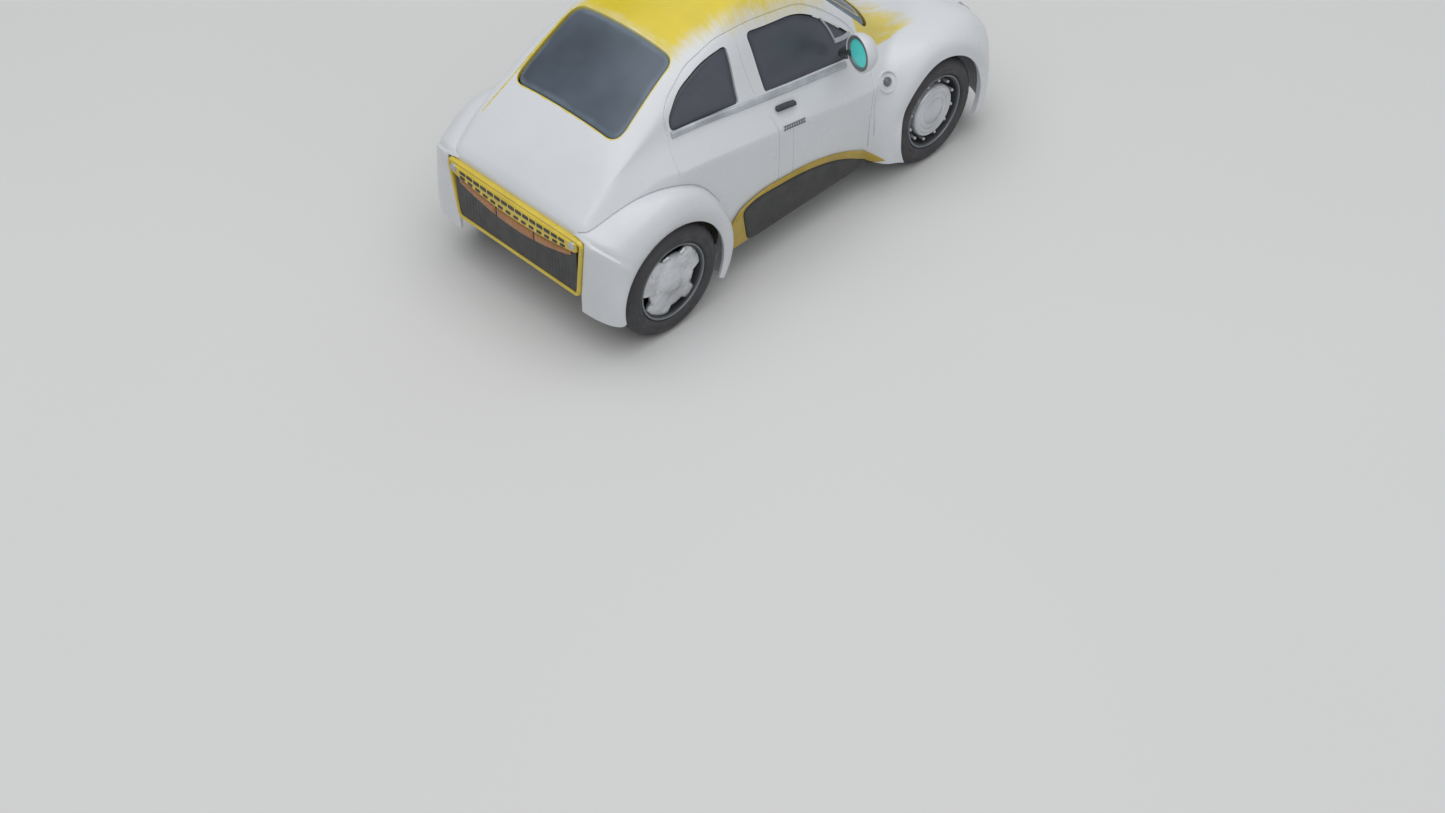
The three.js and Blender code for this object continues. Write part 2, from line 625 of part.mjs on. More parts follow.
function buildMirrors() {
  mirrorPair((name, side) => {
    const group = new THREE.Group();
    group.position.set(MIRROR.x, side * MIRROR.y, MIRROR.z);
    group.rotation.set(0, radians(MIRROR.tilt), side * radians(MIRROR.turn), 'ZYX');
    car.add(group);
    const { radius, depth } = MIRROR;
    const cup = lathe([[0, 1.2], [radius - 0.8, 1.2], [radius - 0.8, 0], [radius, 0],
      [radius, depth * 0.4], [radius * 0.8, depth * 0.75], [radius * 0.4, depth * 0.95],
      [0, depth]], 20);
    const glass = rod(0, 0, radius - 0.8 - GAP, 0.1, 0.9);
    [['shell', cup, white], ['glass', glass, teal]].forEach(([part, solid, material]) => {
      const mesh = addPiece(`mirror_${part}_${name}`, solid, material, group);
      mesh.rotation.z = -Math.PI / 2;
    });
    const bends = MIRROR_ARM.map(([x, y, z]) => new THREE.Vector3(x, side * y, z));
    const path = new THREE.CatmullRomCurve3(bends);
    const section = new THREE.Shape(circle(0, 0, 1.3, 8));
    const arm = toSolid(new THREE.ExtrudeGeometry(section, { steps: 4, extrudePath: path }));
    const shellSpace = new THREE.CylinderGeometry(radius + GAP, radius + GAP, 3 * depth, 20);
    shellSpace.rotateZ(Math.PI / 2);
    group.updateMatrix();
    shellSpace.applyMatrix4(group.matrix);
    addPiece(`mirror_arm_${name}`, largest(arm.subtract(toSolid(shellSpace))), black);
  });
}

// ---- Base plate ----

function buildBase() {
  const [rear, middleRear, middleFront, front] = PLATE_X;
  const outline = roundedOutline([[rear, -PLATE_NARROW, 4], [middleRear, -PLATE_NARROW, 1],
    [middleRear, -PLATE_WIDE, 2], [middleFront, -PLATE_WIDE, 2], [middleFront, -PLATE_NARROW, 1],
    [front, -18, 8], [front, 18, 8], [middleFront, PLATE_NARROW, 1], [middleFront, PLATE_WIDE, 2],
    [middleRear, PLATE_WIDE, 2], [middleRear, PLATE_NARROW, 1], [rear, PLATE_NARROW, 4]]);
  const slotHalf = MODULE * TEETH.drive / 2 + 2;
  const slot = roundedOutline([[-1, -1], [1, -1], [1, 1], [-1, 1]].map(([u, v]) => [
    REAR_AXLE_X + u * slotHalf, DRIVE_GEAR_Y + v * 2.4, 1]));
  let plate = prism(outline, ALONG_Z, PLATE_Z, PLATE_Z + PLATE_THICK, [slot]);
  Object.values(SCREW_X).forEach((x) => {
    plate = plate.subtract(countersunk(x, SCREW.clearance, PLATE_THICK + 1));
  });
  addPiece('base_plate', plate, tinplate);

  const { halfLength, arm, thick, top } = BRACKET;
  const floor = PLATE_Z + PLATE_THICK + GAP;
  const channel = [[-arm, floor], [arm, floor], [arm, top], [arm - thick, top],
    [arm - thick, floor + thick], [thick - arm, floor + thick], [thick - arm, top],
    [-arm, top]].map(([y, z]) => new THREE.Vector2(y, z));
  const bracket = prism(channel, ALONG_X, FRONT_AXLE_X - halfLength, FRONT_AXLE_X + halfLength)
    .subtract(rod(FRONT_AXLE_X, AXLE_Z, AXLE_RADIUS + RUNNING_GAP, -arm - 1, arm + 1, 16));
  addPiece('front_axle_bracket', bracket, tinplate);

  Object.entries(SCREW_X).forEach(([place, x]) => {
    addPiece(`screw_${place}`, countersunk(x, 0, SCREW.length), steel);
  });
}

// A screw with its flat head flush with the underside of the base plate, or the hole for one
function countersunk(x, clearance, length) {
  const { headRadius, headDepth, shankRadius } = SCREW;
  const wide = headRadius + clearance;
  const narrow = shankRadius + clearance;
  const start = clearance > 0 ? -1 : 0;
  const geometry = toGeometry(lathe([[0, start], [wide, start], [wide, 0], [narrow, headDepth],
    [narrow, length], [0, length]], 12));
  geometry.rotateX(Math.PI / 2);
  geometry.translate(x, 0, PLATE_Z);
  return toSolid(geometry);
}

// ---- Wheels ----

function wheel(name, side, parent, spokes) {
  const middle = (TYRE_INNER_Y + TYRE_OUTER_Y) / 2;
  const half = (TYRE_OUTER_Y - TYRE_INNER_Y) / 2;
  const seat = RIM_RADIUS + GAP;
  const tyre = lathe([[seat, -half], [WHEEL_RADIUS - 2.4, -half], [WHEEL_RADIUS, -half + 2.6],
    [WHEEL_RADIUS, half - 2.6], [WHEEL_RADIUS - 2.4, half], [seat, half], [seat, -half]], 24);
  const bore = AXLE_RADIUS + GAP;
  let hub = lathe([[bore, -2], [4, -2], [4, 0.6], [RIM_RADIUS - 1.2, 0.6],
    [RIM_RADIUS - 1.2, -half + 1], [RIM_RADIUS, -half + 1], [RIM_RADIUS, half - 0.6],
    [RIM_RADIUS - 1.6, half - 0.6], [RIM_RADIUS - 3.2, half - 3], [5, half - 0.9],
    [bore, half - 0.9], [bore, -2]], 20);
  for (let i = 0; i < spokes; i += 1) {
    const turn = Math.PI * 2 * (i + 0.5) / spokes;
    hub = hub.subtract(rod(9 * Math.cos(turn), 9 * Math.sin(turn), 1.6, -2, half + 1, 6));
  }
  const group = new THREE.Group();
  group.position.y = side * middle;
  group.rotation.z = side > 0 ? 0 : Math.PI;
  parent.add(group);
  addPiece(`${name}_tyre_${side > 0 ? 'left' : 'right'}`, tyre, rubber, group);
  addPiece(`${name}_hub_${side > 0 ? 'left' : 'right'}`, hub, hubSilver, group);
}

function buildAxle(name, x, spokes) {
  const group = new THREE.Group();
  group.position.set(x, 0, AXLE_Z);
  car.add(group);
  const end = TYRE_OUTER_Y - 2.6;
  addPiece(`${name}_axle`, rod(0, 0, AXLE_RADIUS, -end, end, 16), steel, group);
  mirrorPair((_, side) => wheel(name, side, group, spokes));
  return group;
}

// ---- Gears ----

// A short-toothed involute gear outline. One tooth points along the first axis.
function gearOutline(teeth) {
  const pitch = MODULE * teeth / 2;
  const base = pitch * Math.cos(radians(20));
  const tip = pitch + 0.8 * MODULE;
  const root = pitch - 1.05 * MODULE;
  const involute = (r) => {
    const roll = Math.sqrt(Math.max((r / base) ** 2 - 1, 0));
    return roll - Math.atan(roll);
  };
  const halfTooth = (0.5 * 0.86 * Math.PI / teeth) + involute(pitch);
  const flankStart = Math.max(base, root);
  const radii = [flankStart, tip];
  const outline = [];
  for (let i = 0; i < teeth; i += 1) {
    const centre = Math.PI * 2 * i / teeth;
    const flank = radii.map((r) => [r, halfTooth - involute(r)]);
    if (root < base) flank.unshift([root, halfTooth * 0.92]);
    [...flank.map(([r, a]) => [r, -a]), ...flank.reverse()].forEach(([r, a]) => {
      outline.push(new THREE.Vector2(r * Math.cos(centre + a), r * Math.sin(centre + a)));
    });
  }
  return outline;
}

function gear(teeth, thick, bore) {
  const holes = bore > 0 ? [circle(0, 0, bore, 16)] : [];
  return prism(gearOutline(teeth), ALONG_Y, -thick / 2, thick / 2, holes);
}

// Turning about Y by an angle lowers an outline's own angle by as much
function turnTo(mesh, angle) {
  mesh.rotation.y = -radians(angle);
}

function buildMotor() {
  const drivePitch = MODULE * TEETH.drive / 2;
  const idlerReach = drivePitch + MODULE * TEETH.idlerPinion / 2;
  const flywheelReach = MODULE * (TEETH.idlerGear + TEETH.flywheelPinion) / 2;
  const rearAxle = new THREE.Vector2(REAR_AXLE_X, AXLE_Z);
  const polar = (reach, angle) => new THREE.Vector2(reach, 0).rotateAround(new THREE.Vector2(),
    radians(angle));
  const idler = rearAxle.clone().add(polar(idlerReach, IDLER_ANGLE));
  const flywheel = idler.clone().add(polar(flywheelReach, FLYWHEEL_ANGLE));

  const axleGroup = buildAxle('rear', REAR_AXLE_X, 3);
  const driveSolid = gear(TEETH.drive, GEAR_THICK, AXLE_RADIUS + GAP);
  const drive = addPiece('drive_gear', driveSolid, brass, axleGroup);
  drive.position.y = DRIVE_GEAR_Y;
  turnTo(drive, IDLER_ANGLE);

  const idlerGroup = new THREE.Group();
  idlerGroup.position.set(idler.x, 0, idler.y);
  car.add(idlerGroup);
  const shaftEnd = MOTOR_PLATE_Y + 1.6;
  const pinionAngle = IDLER_ANGLE + 180 + 180 / TEETH.idlerPinion;
  const idlerPinion = gear(TEETH.idlerPinion, PINION_LENGTH, 0)
    .rotate([0, -pinionAngle, 0]).translate([0, DRIVE_GEAR_Y, 0]);
  const idlerShaft = rod(0, 0, SHAFT_RADIUS, -shaftEnd, shaftEnd, 12).add(idlerPinion);
  addPiece('idler_shaft', idlerShaft, steel, idlerGroup);
  const idlerSolid = gear(TEETH.idlerGear, GEAR_THICK, SHAFT_RADIUS + GAP);
  const idlerGear = addPiece('idler_gear', idlerSolid, brass, idlerGroup);
  idlerGear.position.y = IDLER_GEAR_Y;
  turnTo(idlerGear, FLYWHEEL_ANGLE);

  const flywheelGroup = new THREE.Group();
  flywheelGroup.position.set(flywheel.x, 0, flywheel.y);
  car.add(flywheelGroup);
  const flywheelPinionAngle = FLYWHEEL_ANGLE + 180 + 180 / TEETH.flywheelPinion;
  const flywheelPinion = gear(TEETH.flywheelPinion, PINION_LENGTH, 0)
    .rotate([0, -flywheelPinionAngle, 0]).translate([0, IDLER_GEAR_Y, 0]);
  const flywheelShaft = rod(0, 0, SHAFT_RADIUS, -shaftEnd, shaftEnd, 12).add(flywheelPinion);
  addPiece('flywheel_shaft', flywheelShaft, steel, flywheelGroup);
  const { radius, thick, y } = FLYWHEEL;
  const half = thick / 2;
  const flywheelBore = SHAFT_RADIUS + GAP;
  const disc = lathe([[flywheelBore, -half], [radius - 0.6, -half], [radius, 0.6 - half],
    [radius, half - 0.6], [radius - 0.6, half], [flywheelBore, half], [flywheelBore, -half]], 28);
  addPiece('flywheel', disc, steel, flywheelGroup).position.y = y;

  const holes = [
    circle(rearAxle.x, rearAxle.y, AXLE_RADIUS + RUNNING_GAP, 12),
    circle(idler.x, idler.y, SHAFT_RADIUS + RUNNING_GAP, 12),
    circle(flywheel.x, flywheel.y, SHAFT_RADIUS + RUNNING_GAP, 12),
  ];
  mirrorPair((name, side) => {
    const from = side > 0 ? MOTOR_PLATE_Y : -MOTOR_PLATE_Y - 1;
    const plate = prism(roundedOutline(MOTOR_PLATE), ALONG_Y, from, from + 1, holes);
    addPiece(`motor_plate_${name}`, plate, tinplate);
  });
  Object.entries(PILLARS).forEach(([place, [x, z]]) => {
    const end = MOTOR_PLATE_Y - GAP;
    addPiece(`motor_pillar_${place}`, rod(x, z, PILLAR_RADIUS, -end, end, 12), steel);
  });
}

// What a piece lying on the body is cut back to
const bodyClearance = bodySolid(-GAP, false);

buildBody();
buildWindows();
buildFenders();
buildRearPanel();
buildNose();
buildSideTrim();
buildMirrors();
buildBase();
buildAxle('front', FRONT_AXLE_X, 0);
buildMotor();

export default car;
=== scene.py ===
"""Friction tin car: the looks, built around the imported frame. Lengths are in millimetres
until a mesh is made, and the frame is +X forward, +Y left, +Z up."""
import math

import bpy
import bmesh
import numpy as np
from mathutils import Matrix, Vector
from mathutils.geometry import delaunay_2d_cdt


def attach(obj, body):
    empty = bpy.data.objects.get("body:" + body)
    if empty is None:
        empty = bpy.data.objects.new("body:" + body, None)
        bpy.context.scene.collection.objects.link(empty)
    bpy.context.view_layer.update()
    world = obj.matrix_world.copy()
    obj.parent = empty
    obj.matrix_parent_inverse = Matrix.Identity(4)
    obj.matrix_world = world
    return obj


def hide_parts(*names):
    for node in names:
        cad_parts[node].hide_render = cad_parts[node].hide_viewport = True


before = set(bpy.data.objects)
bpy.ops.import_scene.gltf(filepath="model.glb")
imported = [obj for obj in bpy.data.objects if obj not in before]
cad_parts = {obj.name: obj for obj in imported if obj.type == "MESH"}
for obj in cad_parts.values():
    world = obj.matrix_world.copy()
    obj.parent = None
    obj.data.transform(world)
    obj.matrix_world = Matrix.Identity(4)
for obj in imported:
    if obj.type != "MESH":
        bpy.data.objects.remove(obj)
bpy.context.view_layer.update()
MM = 0.001

# ---- Dimensions shared with the CAD model ----

REAR_AXLE = (-66, 20)
FRONT_AXLE = (60, 20)
WHEEL_RADIUS = 20
TYRE_Y = (30.5, 43.5)
RIM_RADIUS = 13.6
ARCH_RADIUS = 21.6
SHEET = 1.4
GAP = 0.3
REAR_X, NOSE_X = -91.5, 92.7
REAR_EDGE, NOSE_EDGE = 2.5, 5

# Guide lines on one side: x, half width, height
SILL = [(-93, 29, 21), (-80, 35.5, 18), (-60, 38.5, 15), (30, 38.5, 14), (60, 38, 14),
        (80, 34, 15), (94, 22, 18)]
CREASE = [(-93, 32, 42.5), (-75, 36, 51), (-57, 38.5, 55), (-15, 41, 51), (27, 41, 44),
          (60, 40, 42), (80, 35, 38), (94, 23, 30)]
BELT = [(-93, 29.5, 45), (-75, 30.5, 58.5), (-53, 31.5, 64.5), (-17, 35, 63), (20, 35, 56),
        (42, 32, 53), (62, 30, 50), (80, 26, 45), (94, 18, 35)]
RAIL = [(-93, 26, 46), (-84, 27.5, 54), (-71, 28.5, 64.5), (-45, 28.3, 79.8), (-15, 27, 90),
        (8, 26.5, 85.5), (30, 27.5, 69.5), (44, 27.5, 58.5), (65, 22, 52.5), (80, 19, 47),
        (90, 15, 40), (94, 13, 36)]
CROWN = [(-93, 12, 46), (-84, 12, 55.5), (-70, 12, 67.3), (-45, 12, 83.4), (-15, 12, 94),
         (8, 12, 88.5), (26, 12, 75), (45, 12, 60.5), (65, 12, 54.5), (80, 11, 49),
         (90, 9, 41), (94, 8, 36.5)]
CORNER_SHARES = (0.25, 0.35, 0.5, 0.5)
CRISP_SHARE, CRISP_X = 0.05, (-66, -54, 28, 44)
BULGE_X, BULGE_Y, BULGE_Z = 61, 30, 22
BULGE_SIZE = (33, 17, 28.5)
BULGE_POWER, BULGE_BLEND = 3, 4
CENTRE_Z = 30
HEM_Z = 10.5

FENDER_REACH = [(-26, 25.5), (0, 27.3), (40, 29), (65, 31.4), (100, 33.2), (125, 34.4), (138, 37)]
FENDER_END = 189
FENDER_REAR_X = -92.4
FENDER_FULLNESS = (2.5, 2)
FENDER_FACE_Y, FENDER_LIP_Y, FENDER_SHEET, FENDER_LAP = 45.3, 42.4, 0.8, 2.2
FENDER_ROLL = (5.5, 1.5)

DOOR_WINDOW = [(-17.4, 63.3, 1.5), (24, 56.1, 2), (26.2, 62.8, 2), (16.5, 71.8, 8), (4, 80, 12),
               (-19.8, 83.6, 2.5)]
QUARTER_WINDOW = [(-54.6, 65.4, 2.5), (-28.3, 64.3, 1.2), (-28, 82.9, 2), (-37, 81.2, 8),
                  (-49, 75.8, 9), (-54.6, 70, 4)]
REAR_WINDOW = [(-70.4, -23.8, 5), (-43.4, -21.6, 4), (-43.4, 21.6, 4), (-70.4, 23.8, 5)]
WINDSCREEN = [(10.8, -23.6, 4), (37.4, -30.6, 4), (43.5, 0, 60), (37.4, 30.6, 4),
              (10.8, 23.6, 4)]

PANEL = dict(top=43.6, bottom=21.4, top_width=31.2, bottom_width=28.8)
BEAD = dict(top=44.3, bottom=21.4, top_width=31.6, bottom_width=28.8)
PANEL_FRAME, PANEL_THICK = 1.1, 1.0
STRIP_TOP, STRIP_END, STRIP_MIDDLE, STRIP_WIDTH = 43.4, 40.2, 36.9, 29.2
LENS_END, LENS_MIDDLE, LENS_WIDTH = 37.4, 32.4, 26.5
GRILLE = dict(top=31, bottom=21, top_width=17, bottom_width=14)
LAMP_AT, LAMP_RADIUS, LAMP_DEPTH = (84, 30, 35.5), 7.2, 7
LAMP_TURN, LAMP_TILT = 24, 30

MOULDING = [(-55, 64.9), (-41, 64.3), (-28.5, 63.3), (-17.3, 62), (0, 59.1), (20, 55.6)]
HANDLE_AT, HANDLE_LENGTH, HANDLE_SLOPE = (-10.9, 56.4), 9, -0.19
VENT_AT, VENT_LENGTH, VENT_SLOPE = (-9.6, 50.1), 10, -0.16
CAP_AT = (35.8, 43.6)
SKIRT = [(-29.5, 13.3, 3), (-32.8, 28, 3), (-26, 29.9, 8), (-3, 28.2, 14), (14, 23.6, 12),
         (31.5, 13.3, 0.8)]
SKIRT_TRIM = [(-38.6, 13.4, 0.5), (-37.7, 23, 1.5), (-32.5, 28.6, 3), (-22, 31, 8), (0, 29.4, 14),
              (15, 25.2, 10), (27, 19.4, 6), (35, 13.4, 0.5)]
SIDE_Y, SIDE_LEAN, SKIRT_DEPTH = 38.7, 2.5 / 36.5, 0.8
MIRROR_AT, MIRROR_RADIUS, MIRROR_DEPTH = (12.6, 46.4, 68.6), 6.5, 6.5
MIRROR_TURN, MIRROR_TILT = 15, 1
MIRROR_ARM = [(17.8, 36.8, 61.6), (16.8, 39, 64), (15.4, 43, 66.4)]

# ---- Materials ----


class Nodes:
    """A small helper around one node tree."""

    def __init__(self, name):
        self.material = bpy.data.materials.new(name)
        self.material.use_nodes = True
        self.tree = self.material.node_tree
        self.shader = self.tree.nodes["Principled BSDF"]
        self.coords = self.tree.nodes.new("ShaderNodeTexCoord")

    def feed(self, socket, value):
        """Links another socket to this one, or sets its value."""
        if isinstance(value, bpy.types.NodeSocket):
            self.tree.links.new(value, socket)
        else:
            socket.default_value = value

    def add(self, kind, **inputs):
        node = self.tree.nodes.new(kind)
        for name, value in inputs.items():
            self.feed(node.inputs[name.replace("_", " ")], value)
        return node

    def link(self, socket, name):
        self.tree.links.new(socket, self.shader.inputs[name])

    def noise(self, scale, detail=3, stretch=(1, 1, 1), roughness=0.55):
        """Noise in object space. scale is per metre."""
        place = self.add("ShaderNodeMapping", Scale=stretch, Vector=self.coords.outputs["Object"])
        node = self.add("ShaderNodeTexNoise", Scale=scale, Detail=detail, Roughness=roughness,
                        Vector=place.outputs["Vector"])
        return node.outputs["Fac"]

    def ramp(self, factor, *stops):
        node = self.add("ShaderNodeValToRGB", Fac=factor)
        elements = node.color_ramp.elements
        while len(elements) < len(stops):
            elements.new(0.5)
        for element, (position, color) in zip(elements, stops):
            element.position = position
            element.color = (*color, 1)
        return node.outputs["Color"]

    def spread(self, factor, low, high, start=0.3, end=0.7):
        node = self.add("ShaderNodeMapRange", Value=factor, From_Min=start, From_Max=end,
                        To_Min=low, To_Max=high)
        node.interpolation_type = "SMOOTHSTEP"
        return node.outputs["Result"]

    def math(self, operation, a, b=0.0):
        node = self.tree.nodes.new("ShaderNodeMath")
        node.operation = operation
        self.feed(node.inputs[0], a)
        self.feed(node.inputs[1], b)
        return node.outputs["Value"]

    def mix(self, factor, a, b):
        node = self.tree.nodes.new("ShaderNodeMix")
        node.data_type = "RGBA"
        self.tree.links.new(factor, node.inputs["Factor"])
        for slot, value in ((6, a), (7, b)):
            color = value if isinstance(value, bpy.types.NodeSocket) else (*value, 1)
            self.feed(node.inputs[slot], color)
        return node.outputs[2]

    def attribute(self, name):
        node = self.tree.nodes.new("ShaderNodeAttribute")
        node.attribute_name = name
        return node.outputs["Fac"]

    def bump(self, height, strength, distance):
        node = self.add("ShaderNodeBump", Strength=strength, Distance=distance, Height=height)
        self.link(node.outputs["Normal"], "Normal")

    def set(self, **values):
        for key, value in values.items():
            self.shader.inputs[key.replace("_", " ")].default_value = value


def shade(color, amount):
    return tuple(min(1, channel * amount) for channel in color)


def finish(name, color, rough, metal=0.0, coat=0.0, vary=0.06, grain=900, relief=0.00004,
           stretch=(1, 1, 1), spotting=0.0):
    """A plain painted, moulded or metal finish: soft mottling, uneven gloss and fine grain."""
    nodes = Nodes(name)
    mottle = nodes.noise(90, 4)
    base = nodes.ramp(mottle, (0.3, shade(color, 1 - vary)), (0.7, shade(color, 1 + vary)))
    if spotting:
        spots = nodes.spread(nodes.noise(500, 6), 0, 1, 0.62, 0.7)
        base = nodes.mix(nodes.math("MULTIPLY", spots, spotting), base, shade(color, 0.45))
    nodes.link(base, "Base Color")
    nodes.link(nodes.spread(nodes.noise(260, 4), rough * 0.85, rough * 1.2), "Roughness")
    nodes.bump(nodes.noise(grain, 3, stretch), 0.35, relief)
    nodes.set(Metallic=metal, Coat_Weight=coat, Coat_Roughness=0.12)
    return nodes.material


WHITE = (0.71, 0.735, 0.765)
YELLOW = (0.71, 0.56, 0.016)


def enamel():
    """White enamel with an airbrushed yellow roof and bonnet, from masks in millimetres."""
    nodes = Nodes("enamel_white")
    white = nodes.ramp(nodes.noise(45, 3), (0.3, shade(WHITE, 0.96)), (0.7, shade(WHITE, 1.0)))
    gold = nodes.ramp(nodes.noise(70, 4), (0.3, shade(YELLOW, 0.92)), (0.7, shade(YELLOW, 1.07)))
    bristle = nodes.noise(260, 4, (2.6, 0.5, 0.7), 0.6)
    fine = nodes.noise(620, 4, (2.6, 0.4, 0.6), 0.6)
    ragged = nodes.math("ADD", nodes.spread(bristle, -1.1, 1.1, 0.25, 0.75),
                        nodes.spread(fine, -0.9, 0.9, 0.25, 0.75))
    roof = nodes.spread(nodes.math("ADD", nodes.attribute("roof"), ragged), 0, 1, -4.2, 4)
    streak = nodes.noise(170, 5, (0.25, 2.4, 1.2), 0.6)
    strokes = nodes.spread(streak, -7, 7, 0.3, 0.7)
    bonnet = nodes.spread(nodes.math("ADD", nodes.attribute("bonnet"), strokes), 0, 0.85, -9, 15)
    edge = nodes.spread(nodes.math("ADD", nodes.attribute("bonnet_edge"),
                                   nodes.spread(streak, -0.5, 0.5)), 0, 1, -0.2, 0.6)
    bonnet = nodes.math("MULTIPLY", bonnet, edge)
    line = nodes.spread(nodes.math("ADD", nodes.attribute("line"),
                                   nodes.spread(fine, -0.16, 0.16)), 0.9, 0, 0.2, 0.5)
    amount = nodes.math("MAXIMUM", nodes.math("MAXIMUM", roof, bonnet), line)
    nodes.link(nodes.mix(amount, white, gold), "Base Color")
    nodes.link(nodes.spread(nodes.noise(200, 4), 0.26, 0.4), "Roughness")
    nodes.bump(nodes.noise(160, 2), 0.12, 0.00005)
    nodes.set(Coat_Weight=0.2, Coat_Roughness=0.15)
    return nodes.material


def glass(name, dark, light, painted_rim, line=None):
    """Tinted glass with a painted rim: lighter on the rear window and windscreen, a painted
    highlight for the reflection off the rounded edge, and darker on the side panes. The edge
    attribute is in millimetres.
    """
    nodes = Nodes(name)
    cloud = nodes.noise(26, 3, (1, 1, 1.5))
    base = nodes.ramp(cloud, (0.35, dark), (0.68, light))
    edge = nodes.attribute("edge")
    band = nodes.spread(nodes.math("ADD", edge, nodes.spread(nodes.noise(120, 3), -0.4, 0.4)),
                        1, 0, 0.3, 2.2)
    # Painted rim: a lighter painted highlight on the rear window and windscreen, a darker rim on
    # the side panes.
    base = nodes.mix(band, base, painted_rim)
    if line:
        near = nodes.math("ABSOLUTE", nodes.math("SUBTRACT", edge, line[0]))
        thin = nodes.spread(near, 0.85, 0, 0.15, 0.42)
        base = nodes.mix(thin, base, line[1])
    nodes.link(base, "Base Color")
    nodes.link(nodes.spread(nodes.noise(300, 4), 0.3, 0.42), "Roughness")
    nodes.bump(nodes.noise(60, 2), 0.1, 0.0002)
    nodes.set(Coat_Weight=0.12, Coat_Roughness=0.15, IOR=1.36)
    return nodes.material


def rubber():
    nodes = Nodes("tyre_rubber")
    base = nodes.ramp(nodes.noise(120, 5), (0.3, (0.045, 0.045, 0.048)),
                      (0.72, (0.068, 0.068, 0.072)))
    dust = nodes.spread(nodes.noise(640, 6), 0, 0.3, 0.58, 0.75)
    nodes.link(nodes.mix(dust, base, (0.12, 0.118, 0.112)), "Base Color")
    nodes.link(nodes.spread(nodes.noise(260, 4), 0.5, 0.72), "Roughness")
    nodes.bump(nodes.noise(1500, 4), 0.4, 0.00006)
    nodes.set(Specular_IOR_Level=0.4)
    return nodes.material


def amber():
    nodes = Nodes("amber_lens")
    base = nodes.ramp(nodes.noise(90, 3), (0.3, (0.34, 0.125, 0.03)), (0.7, (0.48, 0.2, 0.055)))
    nodes.link(base, "Base Color")
    nodes.link(nodes.spread(nodes.noise(300, 3), 0.2, 0.34), "Roughness")
    nodes.bump(nodes.noise(700, 2), 0.15, 0.00005)
    nodes.set(Coat_Weight=0.6, Coat_Roughness=0.08, Subsurface_Weight=0.1)
    return nodes.material


M = {
    "body_white": enamel(),
    "plain_white": finish("enamel_plain", shade(WHITE, 0.93), 0.32, coat=0.2, vary=0.03, grain=160,
                          relief=0.00002),
    "yellow": finish("enamel_yellow", (0.66, 0.5, 0.05), 0.34, coat=0.3, vary=0.1, spotting=0.25),
    # The skirt trim's yellow is a darker copy of the yellow paint: its own colour with painted
    # shade, low on the side.
    "yellow_in_painted_shade": finish("enamel_yellow_in_painted_shade", (0.43, 0.3, 0.025), 0.36, coat=0.3, vary=0.14, spotting=0.35),
    "black": finish("satin_black", (0.028, 0.029, 0.03), 0.45, coat=0.15, vary=0.2),
    # The skirt insert is a darker copy of the satin black: black with painted shade, low on the
    # side.
    "skirt": finish("skirt_black_painted_shade", (0.014, 0.014, 0.015), 0.42, coat=0.2, vary=0.25,
                    stretch=(0.15, 1, 1)),
    "gasket": finish("gasket_rubber", (0.05, 0.053, 0.06), 0.6, vary=0.2),
    "bright": finish("bright_trim", (0.47, 0.5, 0.54), 0.34, metal=0.35, coat=0.2, vary=0.3,
                     spotting=0.5, stretch=(0.2, 1, 1)),
    "grey": finish("grey_trim", (0.2, 0.215, 0.235), 0.4, metal=0.3, vary=0.12),
    "hub": finish("hub_silver", (0.6, 0.62, 0.65), 0.36, metal=0.3, coat=0.2, vary=0.1,
                  spotting=0.2),
    "chrome": finish("hub_chrome", (0.62, 0.64, 0.67), 0.24, metal=0.6, coat=0.3, vary=0.28,
                     grain=130, relief=0.004, spotting=0.3),
    "hub_dark": finish("hub_shadow", (0.06, 0.062, 0.066), 0.5, metal=0.2, vary=0.3),
    "steel": finish("steel", (0.5, 0.51, 0.52), 0.34, metal=0.95, vary=0.1, spotting=0.3,
                    stretch=(1, 0.1, 1)),
    "tinplate": finish("tinplate", (0.6, 0.61, 0.62), 0.38, metal=0.9, vary=0.12, spotting=0.3,
                       stretch=(0.1, 1, 1)),
    "brass": finish("brass", (0.62, 0.46, 0.18), 0.34, metal=0.95, vary=0.12, spotting=0.3),
    # The mirror glass is teal raised in brightness: its own colour with painted light on a face
    # turned away from the light.
    "teal_painted_light": finish("mirror_teal", (0.13, 0.93, 0.88), 0.35, coat=0.2, vary=0.04),
    "lamp": finish("lamp_lens", (0.62, 0.66, 0.7), 0.12, metal=0.2, coat=0.9, vary=0.08),
    # Each glass's last colour is its painted rim: lighter on the rear window and windscreen, a
    # painted highlight for the reflection off the rounded edge.
    "rear_glass": glass("window_tint", (0.055, 0.069, 0.093), (0.105, 0.133, 0.17),
                        (0.155, 0.2, 0.255)),
    "screen_glass": glass("screen_tint", (0.09, 0.115, 0.145), (0.13, 0.165, 0.205),
                          (0.2, 0.255, 0.32), (2.6, (0.6, 0.52, 0.25))),
    "side_glass": glass("side_tint", (0.068, 0.073, 0.092), (0.1, 0.108, 0.132),
                        (0.06, 0.066, 0.082)),
    "rubber": rubber(),
    "amber": amber(),
}

# ---- Mesh building ----


def make(name, points, faces, material, body="body", replaces=(), slot=None, sharp=35):
    """A mesh object from points in millimetres, smooth-shaded up to an angle."""
    mesh = bpy.data.meshes.new(name)
    mesh.from_pydata((np.asarray(points, float) * MM).tolist(), [], [list(f) for f in faces])
    mesh.update()
    return adopt(name, mesh, material, body, replaces, slot, sharp)


def adopt(name, mesh, material, body="body", replaces=(), slot=None, sharp=35):
    work = bmesh.new()
    work.from_mesh(mesh)
    bmesh.ops.recalc_face_normals(work, faces=work.faces)
    work.to_mesh(mesh)
    work.free()
    mesh.shade_smooth()
    mesh.set_sharp_from_angle(angle=math.radians(sharp))
    piece = bpy.data.objects.new(name, mesh)
    bpy.context.scene.collection.objects.link(piece)
    if material is not None:
        mesh.materials.clear()
        mesh.materials.append(M[material])
        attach(piece, body)
        if replaces:
            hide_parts(*replaces)
    return piece


